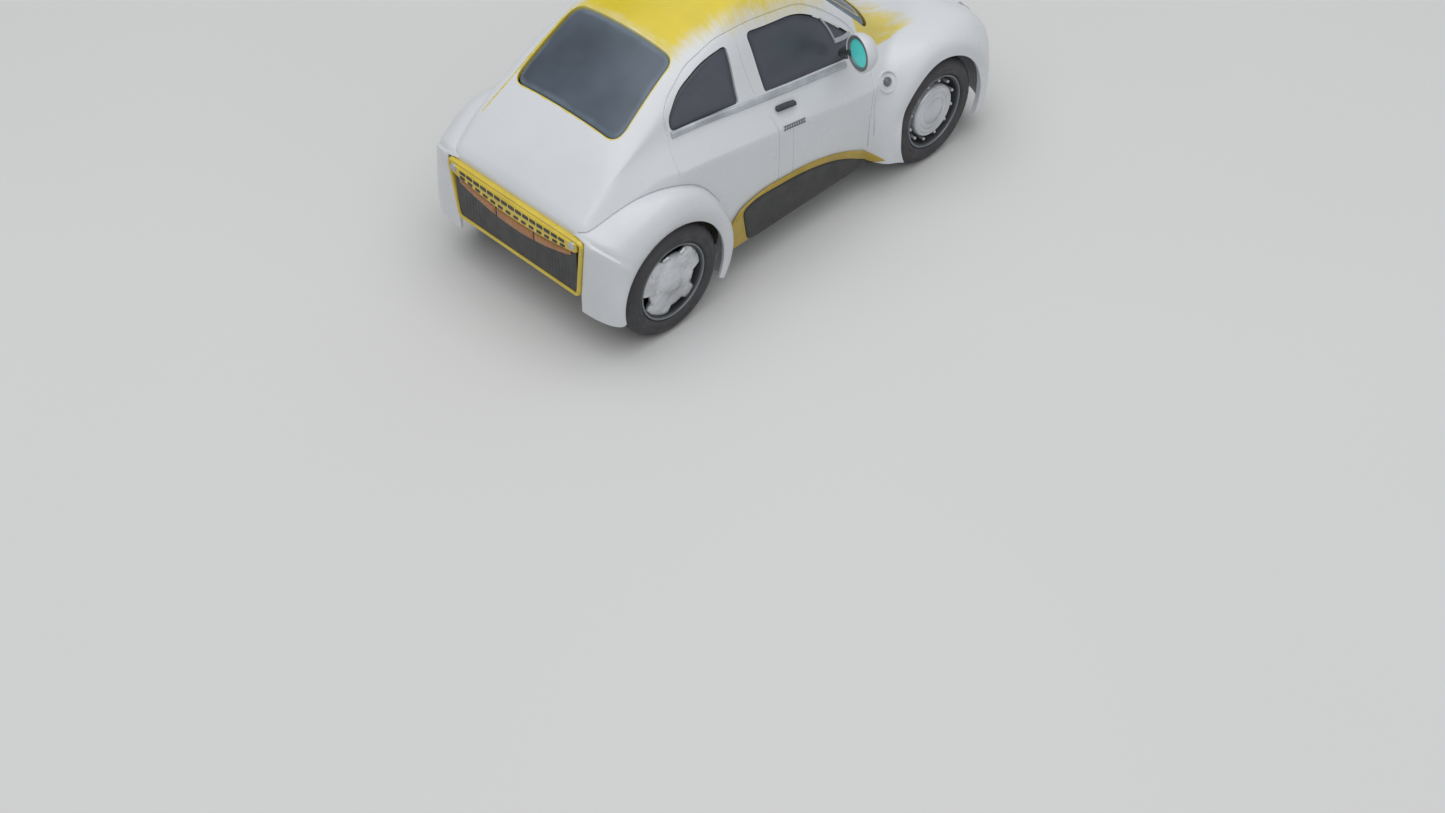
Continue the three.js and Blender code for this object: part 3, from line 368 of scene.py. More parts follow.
def loft(rings, caps=True, close=False):
    """Points and faces through closed rings of equal length, all wound the same way."""
    rings = np.asarray(rings, float)
    count, size = rings.shape[:2]
    faces = []
    for i in range(count if close else count - 1):
        after = (i + 1) % count
        for j in range(size):
            k = (j + 1) % size
            faces.append((i * size + j, i * size + k, after * size + k, after * size + j))
    if caps and not close:
        faces.append(tuple(range(size))[::-1])
        faces.append(tuple(range((count - 1) * size, count * size)))
    return rings.reshape(-1, 3), faces


def join(parts):
    points, faces, base = [], [], 0
    for some_points, some_faces in parts:
        points.append(np.asarray(some_points, float))
        faces += [tuple(base + i for i in face) for face in some_faces]
        base += len(some_points)
    return np.vstack(points), faces


def cut(target, points, faces, operation="DIFFERENCE"):
    """Applies a boolean with a closed mesh to the target."""
    tool = make(target.name + "_tool", points, faces, None)
    modifier = target.modifiers.new("cut", "BOOLEAN")
    modifier.solver = "MANIFOLD"
    modifier.operation = operation
    modifier.object = tool
    graph = bpy.context.evaluated_depsgraph_get()
    result = bpy.data.meshes.new_from_object(target.evaluated_get(graph))
    target.modifiers.clear()
    old = target.data
    if len(result.vertices) == len(old.vertices):
        raise RuntimeError(f"the cut changed nothing on {target.name}")
    target.data = result
    bpy.data.meshes.remove(old)
    bpy.data.objects.remove(tool)


def lathe(profile, steps=96, closed=False):
    """Turns (radius, height) points about local Z. A profile not closed on itself starts and
    ends on the axis."""
    turns = np.linspace(0, 2 * math.pi, steps, endpoint=False)
    rings = [[(r * math.cos(a), r * math.sin(a), h) for a in turns] for r, h in profile]
    return loft(rings, caps=not closed, close=closed)


def resample(points, spacing, closed=True):
    points = np.asarray(points, float)
    if closed:
        points = np.vstack([points, points[:1]])
    steps = np.linalg.norm(np.diff(points, axis=0), axis=1)
    travel = np.concatenate([[0], np.cumsum(steps)])
    count = max(int(round(travel[-1] / spacing)), 3)
    at = np.linspace(0, travel[-1], count + 1)
    at = at[:-1] if closed else at
    return np.stack([np.interp(at, travel, points[:, i]) for i in range(points.shape[1])], 1)


def rounded(corners, spacing=0.7):
    """Corner list (u, v, radius) to a closed outline with rounded corners."""
    places = [np.array(corner[:2], float) for corner in corners]
    outline = []
    for i, (_, _, radius) in enumerate(corners):
        before = places[i - 1] - places[i]
        after = places[(i + 1) % len(places)] - places[i]
        lengths = np.linalg.norm(before), np.linalg.norm(after)
        reach = min(radius, lengths[0] * 0.48, lengths[1] * 0.48)
        start = places[i] + before / lengths[0] * reach
        end = places[i] + after / lengths[1] * reach
        for t in np.linspace(0, 1, 13):
            outline.append((1 - t) ** 2 * start + 2 * t * (1 - t) * places[i] + t * t * end)
    return resample(outline, spacing)


def area(outline):
    x, y = outline[:, 0], outline[:, 1]
    return 0.5 * np.sum(x * np.roll(y, -1) - np.roll(x, -1) * y)


def inset(outline, amount):
    """Moves a closed outline inwards (or outwards where amount is negative)."""
    outline = np.asarray(outline, float)
    along = np.roll(outline, -1, 0) - np.roll(outline, 1, 0)
    along /= np.linalg.norm(along, axis=1, keepdims=True)
    inward = np.stack([-along[:, 1], along[:, 0]], 1) * np.sign(area(outline))
    return outline + inward * amount


def distance(points, outline, closed=True):
    """How far each 2D or 3D point lies from a polyline."""
    points, a = np.asarray(points, float), np.asarray(outline, float)
    b = np.roll(a, -1, 0) if closed else a[1:]
    a = a if closed else a[:-1]
    best = np.full(len(points), 1e9)
    for start, end in zip(a, b):
        side = end - start
        t = np.clip((points - start) @ side / max(side @ side, 1e-12), 0, 1)
        best = np.minimum(best, np.linalg.norm(points - start - t[:, None] * side, axis=1))
    return best


def inside(points, outline):
    x, y = np.asarray(points, float).T[:2]
    result = np.zeros(len(x), bool)
    for (x0, y0), (x1, y1) in zip(outline, np.roll(outline, -1, 0)):
        crosses = (y0 > y) != (y1 > y)
        with np.errstate(divide="ignore", invalid="ignore"):
            result ^= crosses & (x < (x1 - x0) * (y - y0) / (y1 - y0) + x0)
    return result


AXES = {
    "x": lambda u, v, w: (w, u, v),
    "y": lambda u, v, w: (u, w, v),
    "z": lambda u, v, w: (u, v, w),
}


def plate(outline, axis, back, face, bevel=0.25, steps=3):
    """An outline pushed from back to face along an axis, with a rounded edge on its face."""
    turn = 1 if face > back else -1
    levels = [(0, back), (0, face - turn * bevel)]
    for step in range(1, steps + 1):
        angle = math.pi / 2 * step / steps
        levels.append((bevel * (1 - math.cos(angle)), face - turn * bevel * (1 - math.sin(angle))))
    place = AXES[axis]
    rings = [[place(u, v, depth) for u, v in inset(outline, amount)] for amount, depth in levels]
    return loft(rings)


# ---- The body's surface ----


def smoothstep(value, start, end):
    t = np.clip((value - start) / (end - start), 0, 1)
    return t * t * (3 - 2 * t)


def guide(points):
    """A smooth line through points that never overshoots them: x gives (half width, height)."""
    table = np.array(points, float)
    xs = table[:, 0]
    rises = np.diff(table[:, 1:], axis=0) / np.diff(xs)[:, None]
    slopes = np.vstack([rises[:1], np.zeros((len(xs) - 2, 2)), rises[-1:]])
    before, after = rises[:-1], rises[1:]
    same = before * after > 0
    slopes[1:-1][same] = 2 * before[same] * after[same] / (before[same] + after[same])

    def at(x):
        x = np.clip(np.atleast_1d(x).astype(float), xs[0], xs[-1])
        i = np.clip(np.searchsorted(xs, x, side="right") - 1, 0, len(xs) - 2)
        span = (xs[i + 1] - xs[i])[:, None]
        t = (x - xs[i])[:, None] / span
        s = 1 - t
        return ((1 + 2 * t) * s * s * table[i, 1:] + t * s * s * span * slopes[i]
                + t * t * (3 - 2 * t) * table[i + 1, 1:] - t * t * s * span * slopes[i + 1])
    return at


LINES = [guide(line) for line in (SILL, CREASE, BELT, RAIL, CROWN)]


def in_bulge(x, y, z):
    across = (np.maximum(0, y - BULGE_Y) / BULGE_SIZE[1]) ** BULGE_POWER
    along = np.abs((x - BULGE_X) / BULGE_SIZE[0]) ** BULGE_POWER
    return along + across + np.abs((z - BULGE_Z) / BULGE_SIZE[2]) ** BULGE_POWER < 1


def bulge_reach(x, direction):
    """Distance from the bulge's centre line to its skin, 0 where a direction misses it."""
    def hit(r):
        return in_bulge(x, r * direction[..., 0], CENTRE_Z + r * direction[..., 1])
    low = np.zeros(direction.shape[:-1])
    for r in range(1, 61):
        low = np.where(hit(float(r)), float(r), low)
    high = low + 1
    for _ in range(14):
        middle = (low + high) / 2
        ok = hit(middle)
        low, high = np.where(ok & (low > 0), middle, low), np.where(ok, high, middle)
    return np.where(low >= 1, low, 0)


def sections(xs, counts):
    """Cross-sections at xs, from the sill up to the middle of the roof: (x, point, 2)."""
    xs = np.atleast_1d(np.asarray(xs, float))
    controls = [line(xs) for line in LINES]
    controls.append(controls[4] * [-1, 1])
    points, last = [], controls[0]
    rear, door, wing, front = CRISP_X
    crisp = (smoothstep(xs, rear, door) * (1 - smoothstep(xs, wing, front)))[:, None]
    for index, (share, (straight, curved)) in enumerate(zip(CORNER_SHARES, counts), start=1):
        corner = controls[index]
        if index == 1:
            share = share + (CRISP_SHARE - share) * crisp
        start = corner + (controls[index - 1] - corner) * share
        end = corner + (controls[index + 1] - corner) * share
        points += [last + (start - last) * i / straight for i in range(straight)]
        for i in range(curved):
            t = i / curved
            points.append((1 - t) ** 2 * start + 2 * t * (1 - t) * corner + t * t * end)
        last = end
    points.append(last)
    points = np.stack(points, 1)
    arm = points - [0, CENTRE_Z]
    length = np.linalg.norm(arm, axis=-1)
    direction = arm / length[..., None]
    bulge = bulge_reach(xs[:, None], direction)
    share = np.clip(0.5 + 0.5 * (length - bulge) / BULGE_BLEND, 0, 1)
    merged = bulge + (length - bulge) * share + BULGE_BLEND * share * (1 - share)
    reach = np.where(bulge > 0, merged, length)
    points = direction * reach[..., None] + [0, CENTRE_Z]
    points[..., 1] = np.maximum(points[..., 1], HEM_Z)
    rear, nose = xs - REAR_X, NOSE_X - xs
    edge = np.where(rear < nose, REAR_EDGE, NOSE_EDGE)
    near = np.clip(np.minimum(rear, nose), 0, edge)
    draw = edge - np.sqrt(edge ** 2 - (edge - near) ** 2)
    middle = (points[:, 0, 1] + points[:, -1, 1]) / 2
    return pull_in(points, middle, draw)


def pull_in(points, middle, amount):
    """Draws sections towards (0, middle) by an amount."""
    centre = np.stack([np.zeros(len(points)), np.broadcast_to(middle, len(points))], -1)[:, None]
    arm = points - centre
    length = np.linalg.norm(arm, axis=-1, keepdims=True)
    less = np.broadcast_to(np.asarray(amount, float).reshape(-1, 1, 1), length.shape)
    return centre + arm / length * np.maximum(length - less, 0.2)


FINE = ((30, 16), (8, 16), (10, 30), (1, 22))
COARSE = ((8, 4), (3, 5), (4, 8), (1, 7))
END_SCALES = (0.9, 0.7, 0.45, 0.2)


def stations(step):
    """Places along the body, closer together where its ends are rounded."""
    body = np.arange(REAR_X + REAR_EDGE, NOSE_X - NOSE_EDGE, step)
    rear = REAR_X + REAR_EDGE * (1 - np.cos(np.linspace(0, math.pi / 2, 9)[:-1]))
    nose = NOSE_X - NOSE_EDGE * (1 - np.cos(np.linspace(0, math.pi / 2, 13)))
    return np.unique(np.concatenate([rear, body, nose]))


def closed_body(step, counts, amount=0.0, drop=0.0, relief=None):
    """The body as closed rings, drawn in by an amount and run on below the sills by a drop."""
    xs = stations(step)
    halves = sections(xs, counts)
    if relief is not None:
        halves = relief(xs, halves)
    if amount:
        halves = pull_in(halves, CENTRE_Z, amount)
    if drop:
        halves = np.concatenate([halves[:, :1] - [0, drop], halves], 1)
    centre = (REAR_X + NOSE_X) / 2
    xs = centre + (xs - centre) * (1 - amount / (NOSE_X - centre))
    full = np.concatenate([halves, halves[:, -2::-1] * [-1, 1]], 1)
    rings = [np.column_stack([np.full(len(ring), x), ring]) for x, ring in zip(xs, full)]
    ends = []
    for ring in (rings[0], rings[-1]):
        middle = np.array([ring[0, 0], 0, (ring[:, 2].max() + ring[:, 2].min()) / 2])
        ends.append([middle + (ring - middle) * scale for scale in END_SCALES])
    return loft(ends[0][::-1] + rings + ends[1])


def dish(x, z, at, half, slope, depth):
    """A shallow oval hollow around a point on the side."""
    u = (x - at[0]) / half[0]
    v = (z - at[1] - slope * (x - at[0])) / half[1]
    return -depth * (1 - smoothstep(np.sqrt(u * u + v * v), 0.35, 1))


FLARE_RADIUS, FLARE_WIDTH, FLARE_RISE, BEHIND_RISE = 26.5, 3.2, 0.9, 1.3


def body_relief(xs, halves):
    """Pressed detail on the outside: the front arches' flares, and the hollows round the door
    handles and the fuel cap."""
    x, y, z = xs[:, None], halves[..., 0], halves[..., 1]
    from_axle = np.hypot(x - FRONT_AXLE[0], z - FRONT_AXLE[1])
    flare = np.exp(-((from_axle - FLARE_RADIUS) / FLARE_WIDTH) ** 2)
    roll = np.clip(1 - (from_axle - ARCH_RADIUS) / 5, 0, 1.2) ** 2
    above = smoothstep(z, FRONT_AXLE[1], FRONT_AXLE[1] + 12)
    behind = (1 - above) * smoothstep(FRONT_AXLE[0] - x, 12, 18)
    lift = FLARE_RISE * flare - FLARE_RISE * roll * above + BEHIND_RISE * behind * roll
    lift = lift * (y > 30)
    side = y > 24
    lift = lift + side * dish(x, z, (HANDLE_AT[0] + 0.6, HANDLE_AT[1] - 1.4), (7.5, 3.6),
                              HANDLE_SLOPE, 0.6)
    lift = lift + side * dish(x, z, CAP_AT, (5.4, 5.4), 0, 0.35)
    arm = halves - [0, CENTRE_Z]
    return halves + arm / np.linalg.norm(arm, axis=-1, keepdims=True) * lift[..., None]


class Skin:
    """Looks up places on the outside of the body."""

    def __init__(self):
        self.xs = np.arange(REAR_X, NOSE_X + 0.25, 0.5)
        self.halves = sections(self.xs, FINE)

    def section(self, x):
        place = np.clip((x - self.xs[0]) / 0.5, 0, len(self.xs) - 1.001)
        i = int(place)
        return self.halves[i] + (self.halves[i + 1] - self.halves[i]) * (place - i)

    def half_width(self, x, z):
        points = self.section(x)
        above = np.nonzero(points[:, 1] >= z)[0]
        i = max(above[0], 1) if len(above) else len(points) - 1
        (y0, z0), (y1, z1) = points[i - 1], points[i]
        return y0 + (y1 - y0) * np.clip((z - z0) / max(z1 - z0, 1e-9), 0, 1)

    def height(self, x, y):
        points = self.section(x)[::-1]
        beyond = np.nonzero(points[:, 0] >= abs(y))[0]
        i = max(beyond[0], 1) if len(beyond) else len(points) - 1
        (y0, z0), (y1, z1) = points[i - 1], points[i]
        return z0 + (z1 - z0) * np.clip((abs(y) - y0) / max(y1 - y0, 1e-9), 0, 1)

    def on_side(self, side):
        def place(u, v):
            return np.array([u, side * self.half_width(u, v), v])
        return self.with_normal(place, side)

    def on_top(self):
        return self.with_normal(lambda u, v: np.array([u, v, self.height(u, v)]), 0)

    @staticmethod
    def with_normal(place, side, step=0.6):
        def both(u, v):
            du = place(u + step, v) - place(u - step, v)
            dv = place(u, v + step) - place(u, v - step)
            normal = np.cross(du, dv)
            outward = np.array([0, side, 0.2]) if side else np.array([0, 0, 1])
            normal *= np.sign(normal @ outward)
            return place(u, v), normal / np.linalg.norm(normal)
        return both


skin = Skin()


def sweep(path, normals, profile, closed=False):
    """Carries a closed profile of (across, out) points along a path on a surface."""
    path, normals = np.asarray(path, float), np.asarray(normals, float)
    if closed:
        along = np.roll(path, -1, 0) - np.roll(path, 1, 0)
    else:
        along = np.gradient(path, axis=0)
    along /= np.linalg.norm(along, axis=1, keepdims=True)
    across = np.cross(normals, along)
    across /= np.linalg.norm(across, axis=1, keepdims=True)
    out = np.cross(along, across)
    rings = [[p + a * u + o * v for u, v in profile] for p, a, o in zip(path, across, out)]
    return loft(rings, close=closed)


def line_on(place, points, spacing=0.7, closed=False):
    """Points on the surface and normals along a plan line, with a smooth path through it."""
    flat = np.asarray(points, float)
    if not closed:
        flat = smooth_path(flat)
    flat = resample(flat, spacing, closed)
    found = [place(u, v) for u, v in flat]
    return np.array([p for p, _ in found]), np.array([n for _, n in found])


def smooth_path(points, steps=10):
    """A Catmull-Rom curve through points."""
    points = np.asarray(points, float)
    padded = np.vstack([2 * points[0] - points[1], points, 2 * points[-1] - points[-2]])
    result = []
    for a, b, c, d in zip(padded, padded[1:], padded[2:], padded[3:]):
        for t in np.linspace(0, 1, steps, endpoint=False):
            result.append(0.5 * (2 * b + (c - a) * t + (2 * a - 5 * b + 4 * c - d) * t * t
                                 + (3 * b - a - 3 * c + d) * t ** 3))
    result.append(points[-1])
    return np.array(result)


def oval(half_width, half_height, lift=0.0, steps=12):
    turns = np.linspace(0, 2 * math.pi, steps, endpoint=False)
    return [(half_width * math.cos(a), lift + half_height * math.sin(a)) for a in turns]


RIM_STEPS = (0, 0.12, 0.35, 0.7, 1.2, 1.8)


def pillow(name, outline, place, material, replaces, top, thick, edge, spacing=1.1, slot=None):
    """A pane on the body's surface with a rounded rim. It stores each point's distance from
    the rim. top is how deep its face lies under the surface."""
    rings = [inset(outline, amount) for amount in RIM_STEPS]
    low, high = outline.min(0), outline.max(0)
    grid = np.stack(np.meshgrid(np.arange(low[0], high[0], spacing),
                                np.arange(low[1], high[1], spacing)), -1).reshape(-1, 2)
    core = grid[inside(grid, outline)]
    core = core[distance(core, outline) > 2.4]
    flat = np.vstack(rings + [core])
    size = len(outline)
    rim = [(i, (i + 1) % size) for i in range(size)]
    cdt = delaunay_2d_cdt([Vector(p) for p in flat], rim, [], 1, 1e-5)
    flat = np.array([tuple(p) for p in cdt[0]])
    triangles = [tuple(f) for f in cdt[2]]
    depth = distance(flat, outline)
    fall = 1 - np.clip(depth / edge, 0, 1)
    sink = top + edge * 0.42 * (1 - np.sqrt(1 - fall ** 2))
    found = [place(u, v) for u, v in flat]
    upper = np.array([p - n * s for (p, n), s in zip(found, sink)])
    lower = np.array([p - n * (top + thick) for p, n in found])
    border = {}
    for triangle in triangles:
        for a, b in zip(triangle, triangle[1:] + triangle[:1]):
            border[(a, b)] = True
    walls = [(a, b) for a, b in border if (b, a) not in border]
    base = len(upper)
    faces = triangles + [tuple(base + i for i in f[::-1]) for f in triangles]
    faces += [(b, a, base + a, base + b) for a, b in walls]
    piece = make(name, np.vstack([upper, lower]), faces, material, replaces=replaces, slot=slot,
                 sharp=50)
    store(piece, "edge", np.concatenate([depth, np.zeros(len(lower))]))
    return piece


def store(piece, name, values):
    attribute = piece.data.attributes.new(name, "FLOAT", "POINT")
    attribute.data.foreach_set("value", np.asarray(values, np.float32))


def points_of(piece):
    flat = np.zeros(len(piece.data.vertices) * 3)
    piece.data.vertices.foreach_get("co", flat)
    return flat.reshape(-1, 3) / MM


def block(outline, axis, start, end):
    place = AXES[axis]
    return loft([[place(u, v, w) for u, v in outline] for w in (start, end)])


def tube_cut(target, path, normals, radius=0.22):
    """Cuts a fine pressed line along a path."""
    cut(target, *sweep(path, normals, oval(radius, radius, steps=8)))


def side_line(side, points, spacing=0.7):
    return line_on(skin.on_side(side), points, spacing)


def turned(points, x, side, z):
    """Local (across, up, out) points to a place on one side, out being the distance from the
    middle plane."""
    points = np.asarray(points, float)
    return np.column_stack([x + points[:, 0], side * points[:, 2], z + points[:, 1]])


def moved(points, matrix):
    return [tuple(matrix @ Vector(p)) for p in np.asarray(points, float)]


def placed(name, matrix, parts, material, **options):
    """A piece whose mesh is given in the local frame of a matrix."""
    points, faces = parts
    make(name, moved(points, matrix), faces, material, **options)


SIDES = (("left", 1), ("right", -1))
SQUARE = ((-1, -1), (1, -1), (1, 1), (-1, 1))

# ---- Body shell ----

PRESSED_LINES = [
    [(-18.5, 56.6), (-17.3, 53.4), (-16.2, 46), (-15.5, 36), (-15.4, 28.8)],
    [(-10, 48.6), (-9.2, 40), (-8.3, 28.6)],
    [(31.4, 51.5), (29.8, 47), (28.8, 43), (28.7, 36), (29, 20)],
    [(33.4, 51), (31.6, 46.5), (30.4, 42), (30.2, 36), (30.4, 24)],
    [(-55.9, 65.6), (-57.2, 61.6), (-57.9, 57), (-58.1, 54.2)],
]
DRIP_LINE = [(-56.2, 66.2), (-55.8, 70.4), (-52.6, 74.4), (-48.1, 77.4), (-42.5, 80.6),
             (-36.5, 82.9), (-31.5, 84.6), (-26.6, 85.4), (-17.6, 85.7), (-8, 84.4), (4, 81.8),
             (11, 78.2), (18, 73), (25, 66.4), (28.6, 61)]
PILLAR_LINE = [(-24.2, 81.8), (-23.6, 74.4), (-22.4, 67.5), (-21.6, 64.6)]
DRIP_RADIUS, PILLAR_RADIUS, FENDER_LINE_RADIUS = 0.4, 0.18, 0.34

# Reach of the cutting blocks: out from the middle plane, and up from the floor
ARCH_CUT, SIDE_WINDOW_CUT, TOP_WINDOW_CUT = (27, 60), (15, 60), (54, 110)
INNER_DROP = 12

# The yellow's half width along the car, as x and y, and the value of a mask outside its field
ROOF_EDGE = ([-45, -38, -28.5, -18, -6, 8, 16, 22], [20.4, 20.4, 23.3, 25.4, 26.5, 26.2, 25, 23])
BONNET_EDGE = ([30, 35, 37, 43, 50, 60, 75], [31.6, 32.4, 33.3, 32.5, 31.8, 31.2, 29])
OUTSIDE = 30


def fender_reach(angle):
    line = smooth_path(FENDER_REACH)
    reach = np.interp(angle, line[:, 0], line[:, 1])
    if angle <= 91:
        return reach
    rear = (REAR_AXLE[0] - FENDER_REAR_X) / -math.cos(math.radians(angle))
    if angle >= FENDER_REACH[-1][0]:
        reach = 60
    share = np.clip(0.5 + 0.5 * (rear - reach) / 2.5, 0, 1)
    return rear + (reach - rear) * share - 2.5 * share * (1 - share)


def fender_place(angle, reach):
    return (REAR_AXLE[0] + reach * math.cos(math.radians(angle)),
            REAR_AXLE[1] + reach * math.sin(math.radians(angle)))


def arc(centre, radius, start, end, steps):
    turns = np.radians(np.linspace(start, end, steps))
    return np.column_stack([centre[0] + radius * np.cos(turns), centre[1] + radius * np.sin(turns)])


def lamp_matrix(side):
    turn = Matrix.Rotation(math.radians(side * LAMP_TURN), 4, "Z")
    tilt = Matrix.Rotation(math.radians(90 - LAMP_TILT), 4, "Y")
    x, y, z = LAMP_AT
    return Matrix.Translation((x, side * y, z)) @ turn @ tilt


def build_body():
    shell = make("body_shell_skin", *closed_body(0.8, FINE, relief=body_relief), None)
    inner, faces = closed_body(1.6, COARSE, SHEET, INNER_DROP)
    cut(shell, inner, faces)
    openings = []
    for _, side in SIDES:
        wide = [side * y for y in ARCH_CUT]
        openings.append(block(arc(FRONT_AXLE, ARCH_RADIUS, 0, 360, 97)[:-1], "y", *wide))
        angles = np.linspace(FENDER_REACH[0][0], FENDER_END, 90)
        hole = [fender_place(a, fender_reach(a) - FENDER_LAP) for a in angles]
        openings.append(block(hole + [(hole[-1][0], 0), (hole[0][0], 0)], "y", *wide))
        for window in (DOOR_WINDOW, QUARTER_WINDOW):
            openings.append(block(rounded(window), "y", *[side * y for y in SIDE_WINDOW_CUT]))
        hole_radius = LAMP_RADIUS + GAP
        lamp, lamp_faces = lathe([(0, -2), (hole_radius, -2), (hole_radius, 20), (0, 20)])
        openings.append((moved(lamp, lamp_matrix(side)), lamp_faces))
    openings += [block(rounded(window), "z", *TOP_WINDOW_CUT)
                 for window in (REAR_WINDOW, WINDSCREEN)]
    for points, faces in openings:
        cut(shell, points, faces)
    for _, side in SIDES:
        for line in PRESSED_LINES:
            tube_cut(shell, *side_line(side, line))
        tube_cut(shell, *side_line(side, DRIP_LINE), DRIP_RADIUS)
        tube_cut(shell, *side_line(side, PILLAR_LINE), PILLAR_RADIUS)
        edge = [fender_place(a, fender_reach(a) + 0.15) for a in np.linspace(-24, 134, 60)]
        tube_cut(shell, *side_line(side, edge, 1.2), FENDER_LINE_RADIUS)
    mesh = shell.data
    bpy.data.objects.remove(shell)
    shell = adopt("body_shell_skin", mesh, "body_white", replaces=["body_shell"],
                  slot="body_white", sharp=32)
    paint_masks(shell)


def paint_masks(shell):
    """Stores, for the enamel, how far each point is inside a painted field, in millimetres."""
    x, y, z = points_of(shell).T
    wide = np.abs(y)
    roof_edge = np.interp(x, *ROOF_EDGE)
    screen_top = 10.5 + 2.2 * np.clip(wide - 20, 0, 8)
    roof = np.minimum(np.minimum(roof_edge - wide, x + 44.3), screen_top + 3 - x)
    roof[z < 66] = -OUTSIDE
    store(shell, "roof", roof)
    bonnet = np.where(z > 44, 40 - x + 17 * smoothstep(wide, 12, 30), -OUTSIDE)
    bonnet[x < 30] = -OUTSIDE
    outer = np.interp(x, *BONNET_EDGE)
    store(shell, "bonnet", bonnet)
    store(shell, "bonnet_edge", outer - wide)
    rim = rounded(REAR_WINDOW)
    plan = np.column_stack([x, y])
    near = np.where((z > 60) & (x < -30), distance(plan, rim), OUTSIDE)
    near[(x > -46) & (wide < 19)] = OUTSIDE
    rail = smooth_path([(-44.4, 22.4), (-58, 23.6), (-70, 25), (-80, 27.4)])
    left = np.where((z > 48) & (x < -44), distance(plan, rail, False), OUTSIDE)
    store(shell, "line", np.minimum(near, left))


build_body()

# ---- Windows ----


def build_windows():
    top = skin.on_top()
    for node, corners, material in (("rear_window", REAR_WINDOW, "rear_glass"),
                                    ("windscreen", WINDSCREEN, "screen_glass")):
        outline = inset(rounded(corners, 0.9), 0.14)
        pillow(node + "_pane", outline, top, material, [node], 0.25, 1.1, 2.2, 1.6, "window_tint")
    for name, side in SIDES:
        place = skin.on_side(side)
        for kind, corners in (("door", DOOR_WINDOW), ("quarter", QUARTER_WINDOW)):
            outline = inset(rounded(corners, 0.9), 0.14)
            pillow(f"{kind}_window_pane_{name}", outline, place, "side_glass",
                   [f"{kind}_window_{name}"], 0.3, 1.1, 1.4, 1.5, "side_window_tint")
        bar = line_on(place, [(13.6, 73.6), (16.4, 68.6), (18, 64.4)], 0.8)
        sill = line_on(place, [(17.8, 64.2), (22, 63.3), (26, 62.9)], 0.8)
        parts = join([sweep(*bar, oval(0.32, 0.45, -0.1)), sweep(*sill, oval(0.85, 0.5, -0.1))])
        make(f"vent_window_bar_{name}", *parts, "bright", slot="silver_trim")


build_windows()

# ---- Rear fenders ----


def fender_section(side, angle):
    edge = fender_reach(angle)
    x, z = fender_place(angle, edge)
    share = (z - BEAD["bottom"]) / (BEAD["top"] - BEAD["bottom"])
    beside = np.interp(share, [0, 1], [BEAD["bottom_width"], BEAD["top_width"]]) + 0.3
    beside *= 1 - smoothstep(x, REAR_X - 0.4, REAR_X + 1)
    beside *= 1 - smoothstep(z, BEAD["top"], BEAD["top"] + 1.5)
    seat = max(skin.half_width(x, z) - 0.25, beside)
    front, rear = FENDER_FULLNESS
    power = 2 / (front + (rear - front) * smoothstep(angle, 90, 150))

    def wall(amount):
        for turn in np.linspace(0, math.pi / 2, 36):
            reach = (edge - 2 * amount - ARCH_RADIUS) * max(math.cos(turn), 0) ** power
            rise = (FENDER_FACE_Y - amount - seat) * max(math.sin(turn), 0) ** power
            roll = FENDER_ROLL[1] * np.clip(1 - reach / FENDER_ROLL[0], 0, 1) ** 2
            yield ARCH_RADIUS + amount + reach, seat + rise - roll
    outer, inner = list(wall(0)), list(wall(FENDER_SHEET))
    lip = [(ARCH_RADIUS, FENDER_FACE_Y - 2.2), (ARCH_RADIUS + 0.1, FENDER_LIP_Y + 0.2),
           (ARCH_RADIUS + 0.4, FENDER_LIP_Y), (ARCH_RADIUS + 0.7, FENDER_LIP_Y + 0.2),
           (ARCH_RADIUS + 0.8, FENDER_FACE_Y - 2.6)]
    ring = outer + lip + inner[::-1]
    c, s = math.cos(math.radians(angle)), math.sin(math.radians(angle))
    return [(REAR_AXLE[0] + r * c, side * y, REAR_AXLE[1] + r * s) for r, y in ring]


def build_fenders():
    angles = np.linspace(FENDER_REACH[0][0], FENDER_END, 150)
    for name, side in SIDES:
        rings = [fender_section(side, angle) for angle in angles]
        make(f"rear_fender_skin_{name}", *loft(rings), "plain_white",
             replaces=[f"rear_fender_{name}"], slot="body_white", sharp=48)


build_fenders()

# ---- Side trim ----


def lower_side(side):
    """The lower side as a leaning flat, which gives way where the body bulges past it."""
    def place(u, v):
        flat = SIDE_Y + SIDE_LEAN * (v - 14.5)
        return np.array([u, side * max(flat, skin.half_width(u, v)), v])
    return Skin.with_normal(place, side)


def side_plate(name, corners, side, depth, material, node, slot):
    pillow(name, rounded(corners, 0.8), lower_side(side), material, [node], -depth,
           SKIRT_DEPTH, 0.8, 1.4, slot)


def pad(name, at, length, height, slope, side, depth, material, replaces, slot, bevel):
    half = length / 2
    corners = [(at[0] + u * half, at[1] + u * slope * half + v * height / 2, height * 0.48)
               for u, v in SQUARE]
    outline = rounded(corners, 0.3)
    seat = skin.half_width(*at)
    points, faces = plate(outline, "y", seat - 1, seat + depth, bevel, 5)
    points = points * [1, side, 1]
    make(name, points, faces, material, replaces=replaces, slot=slot)


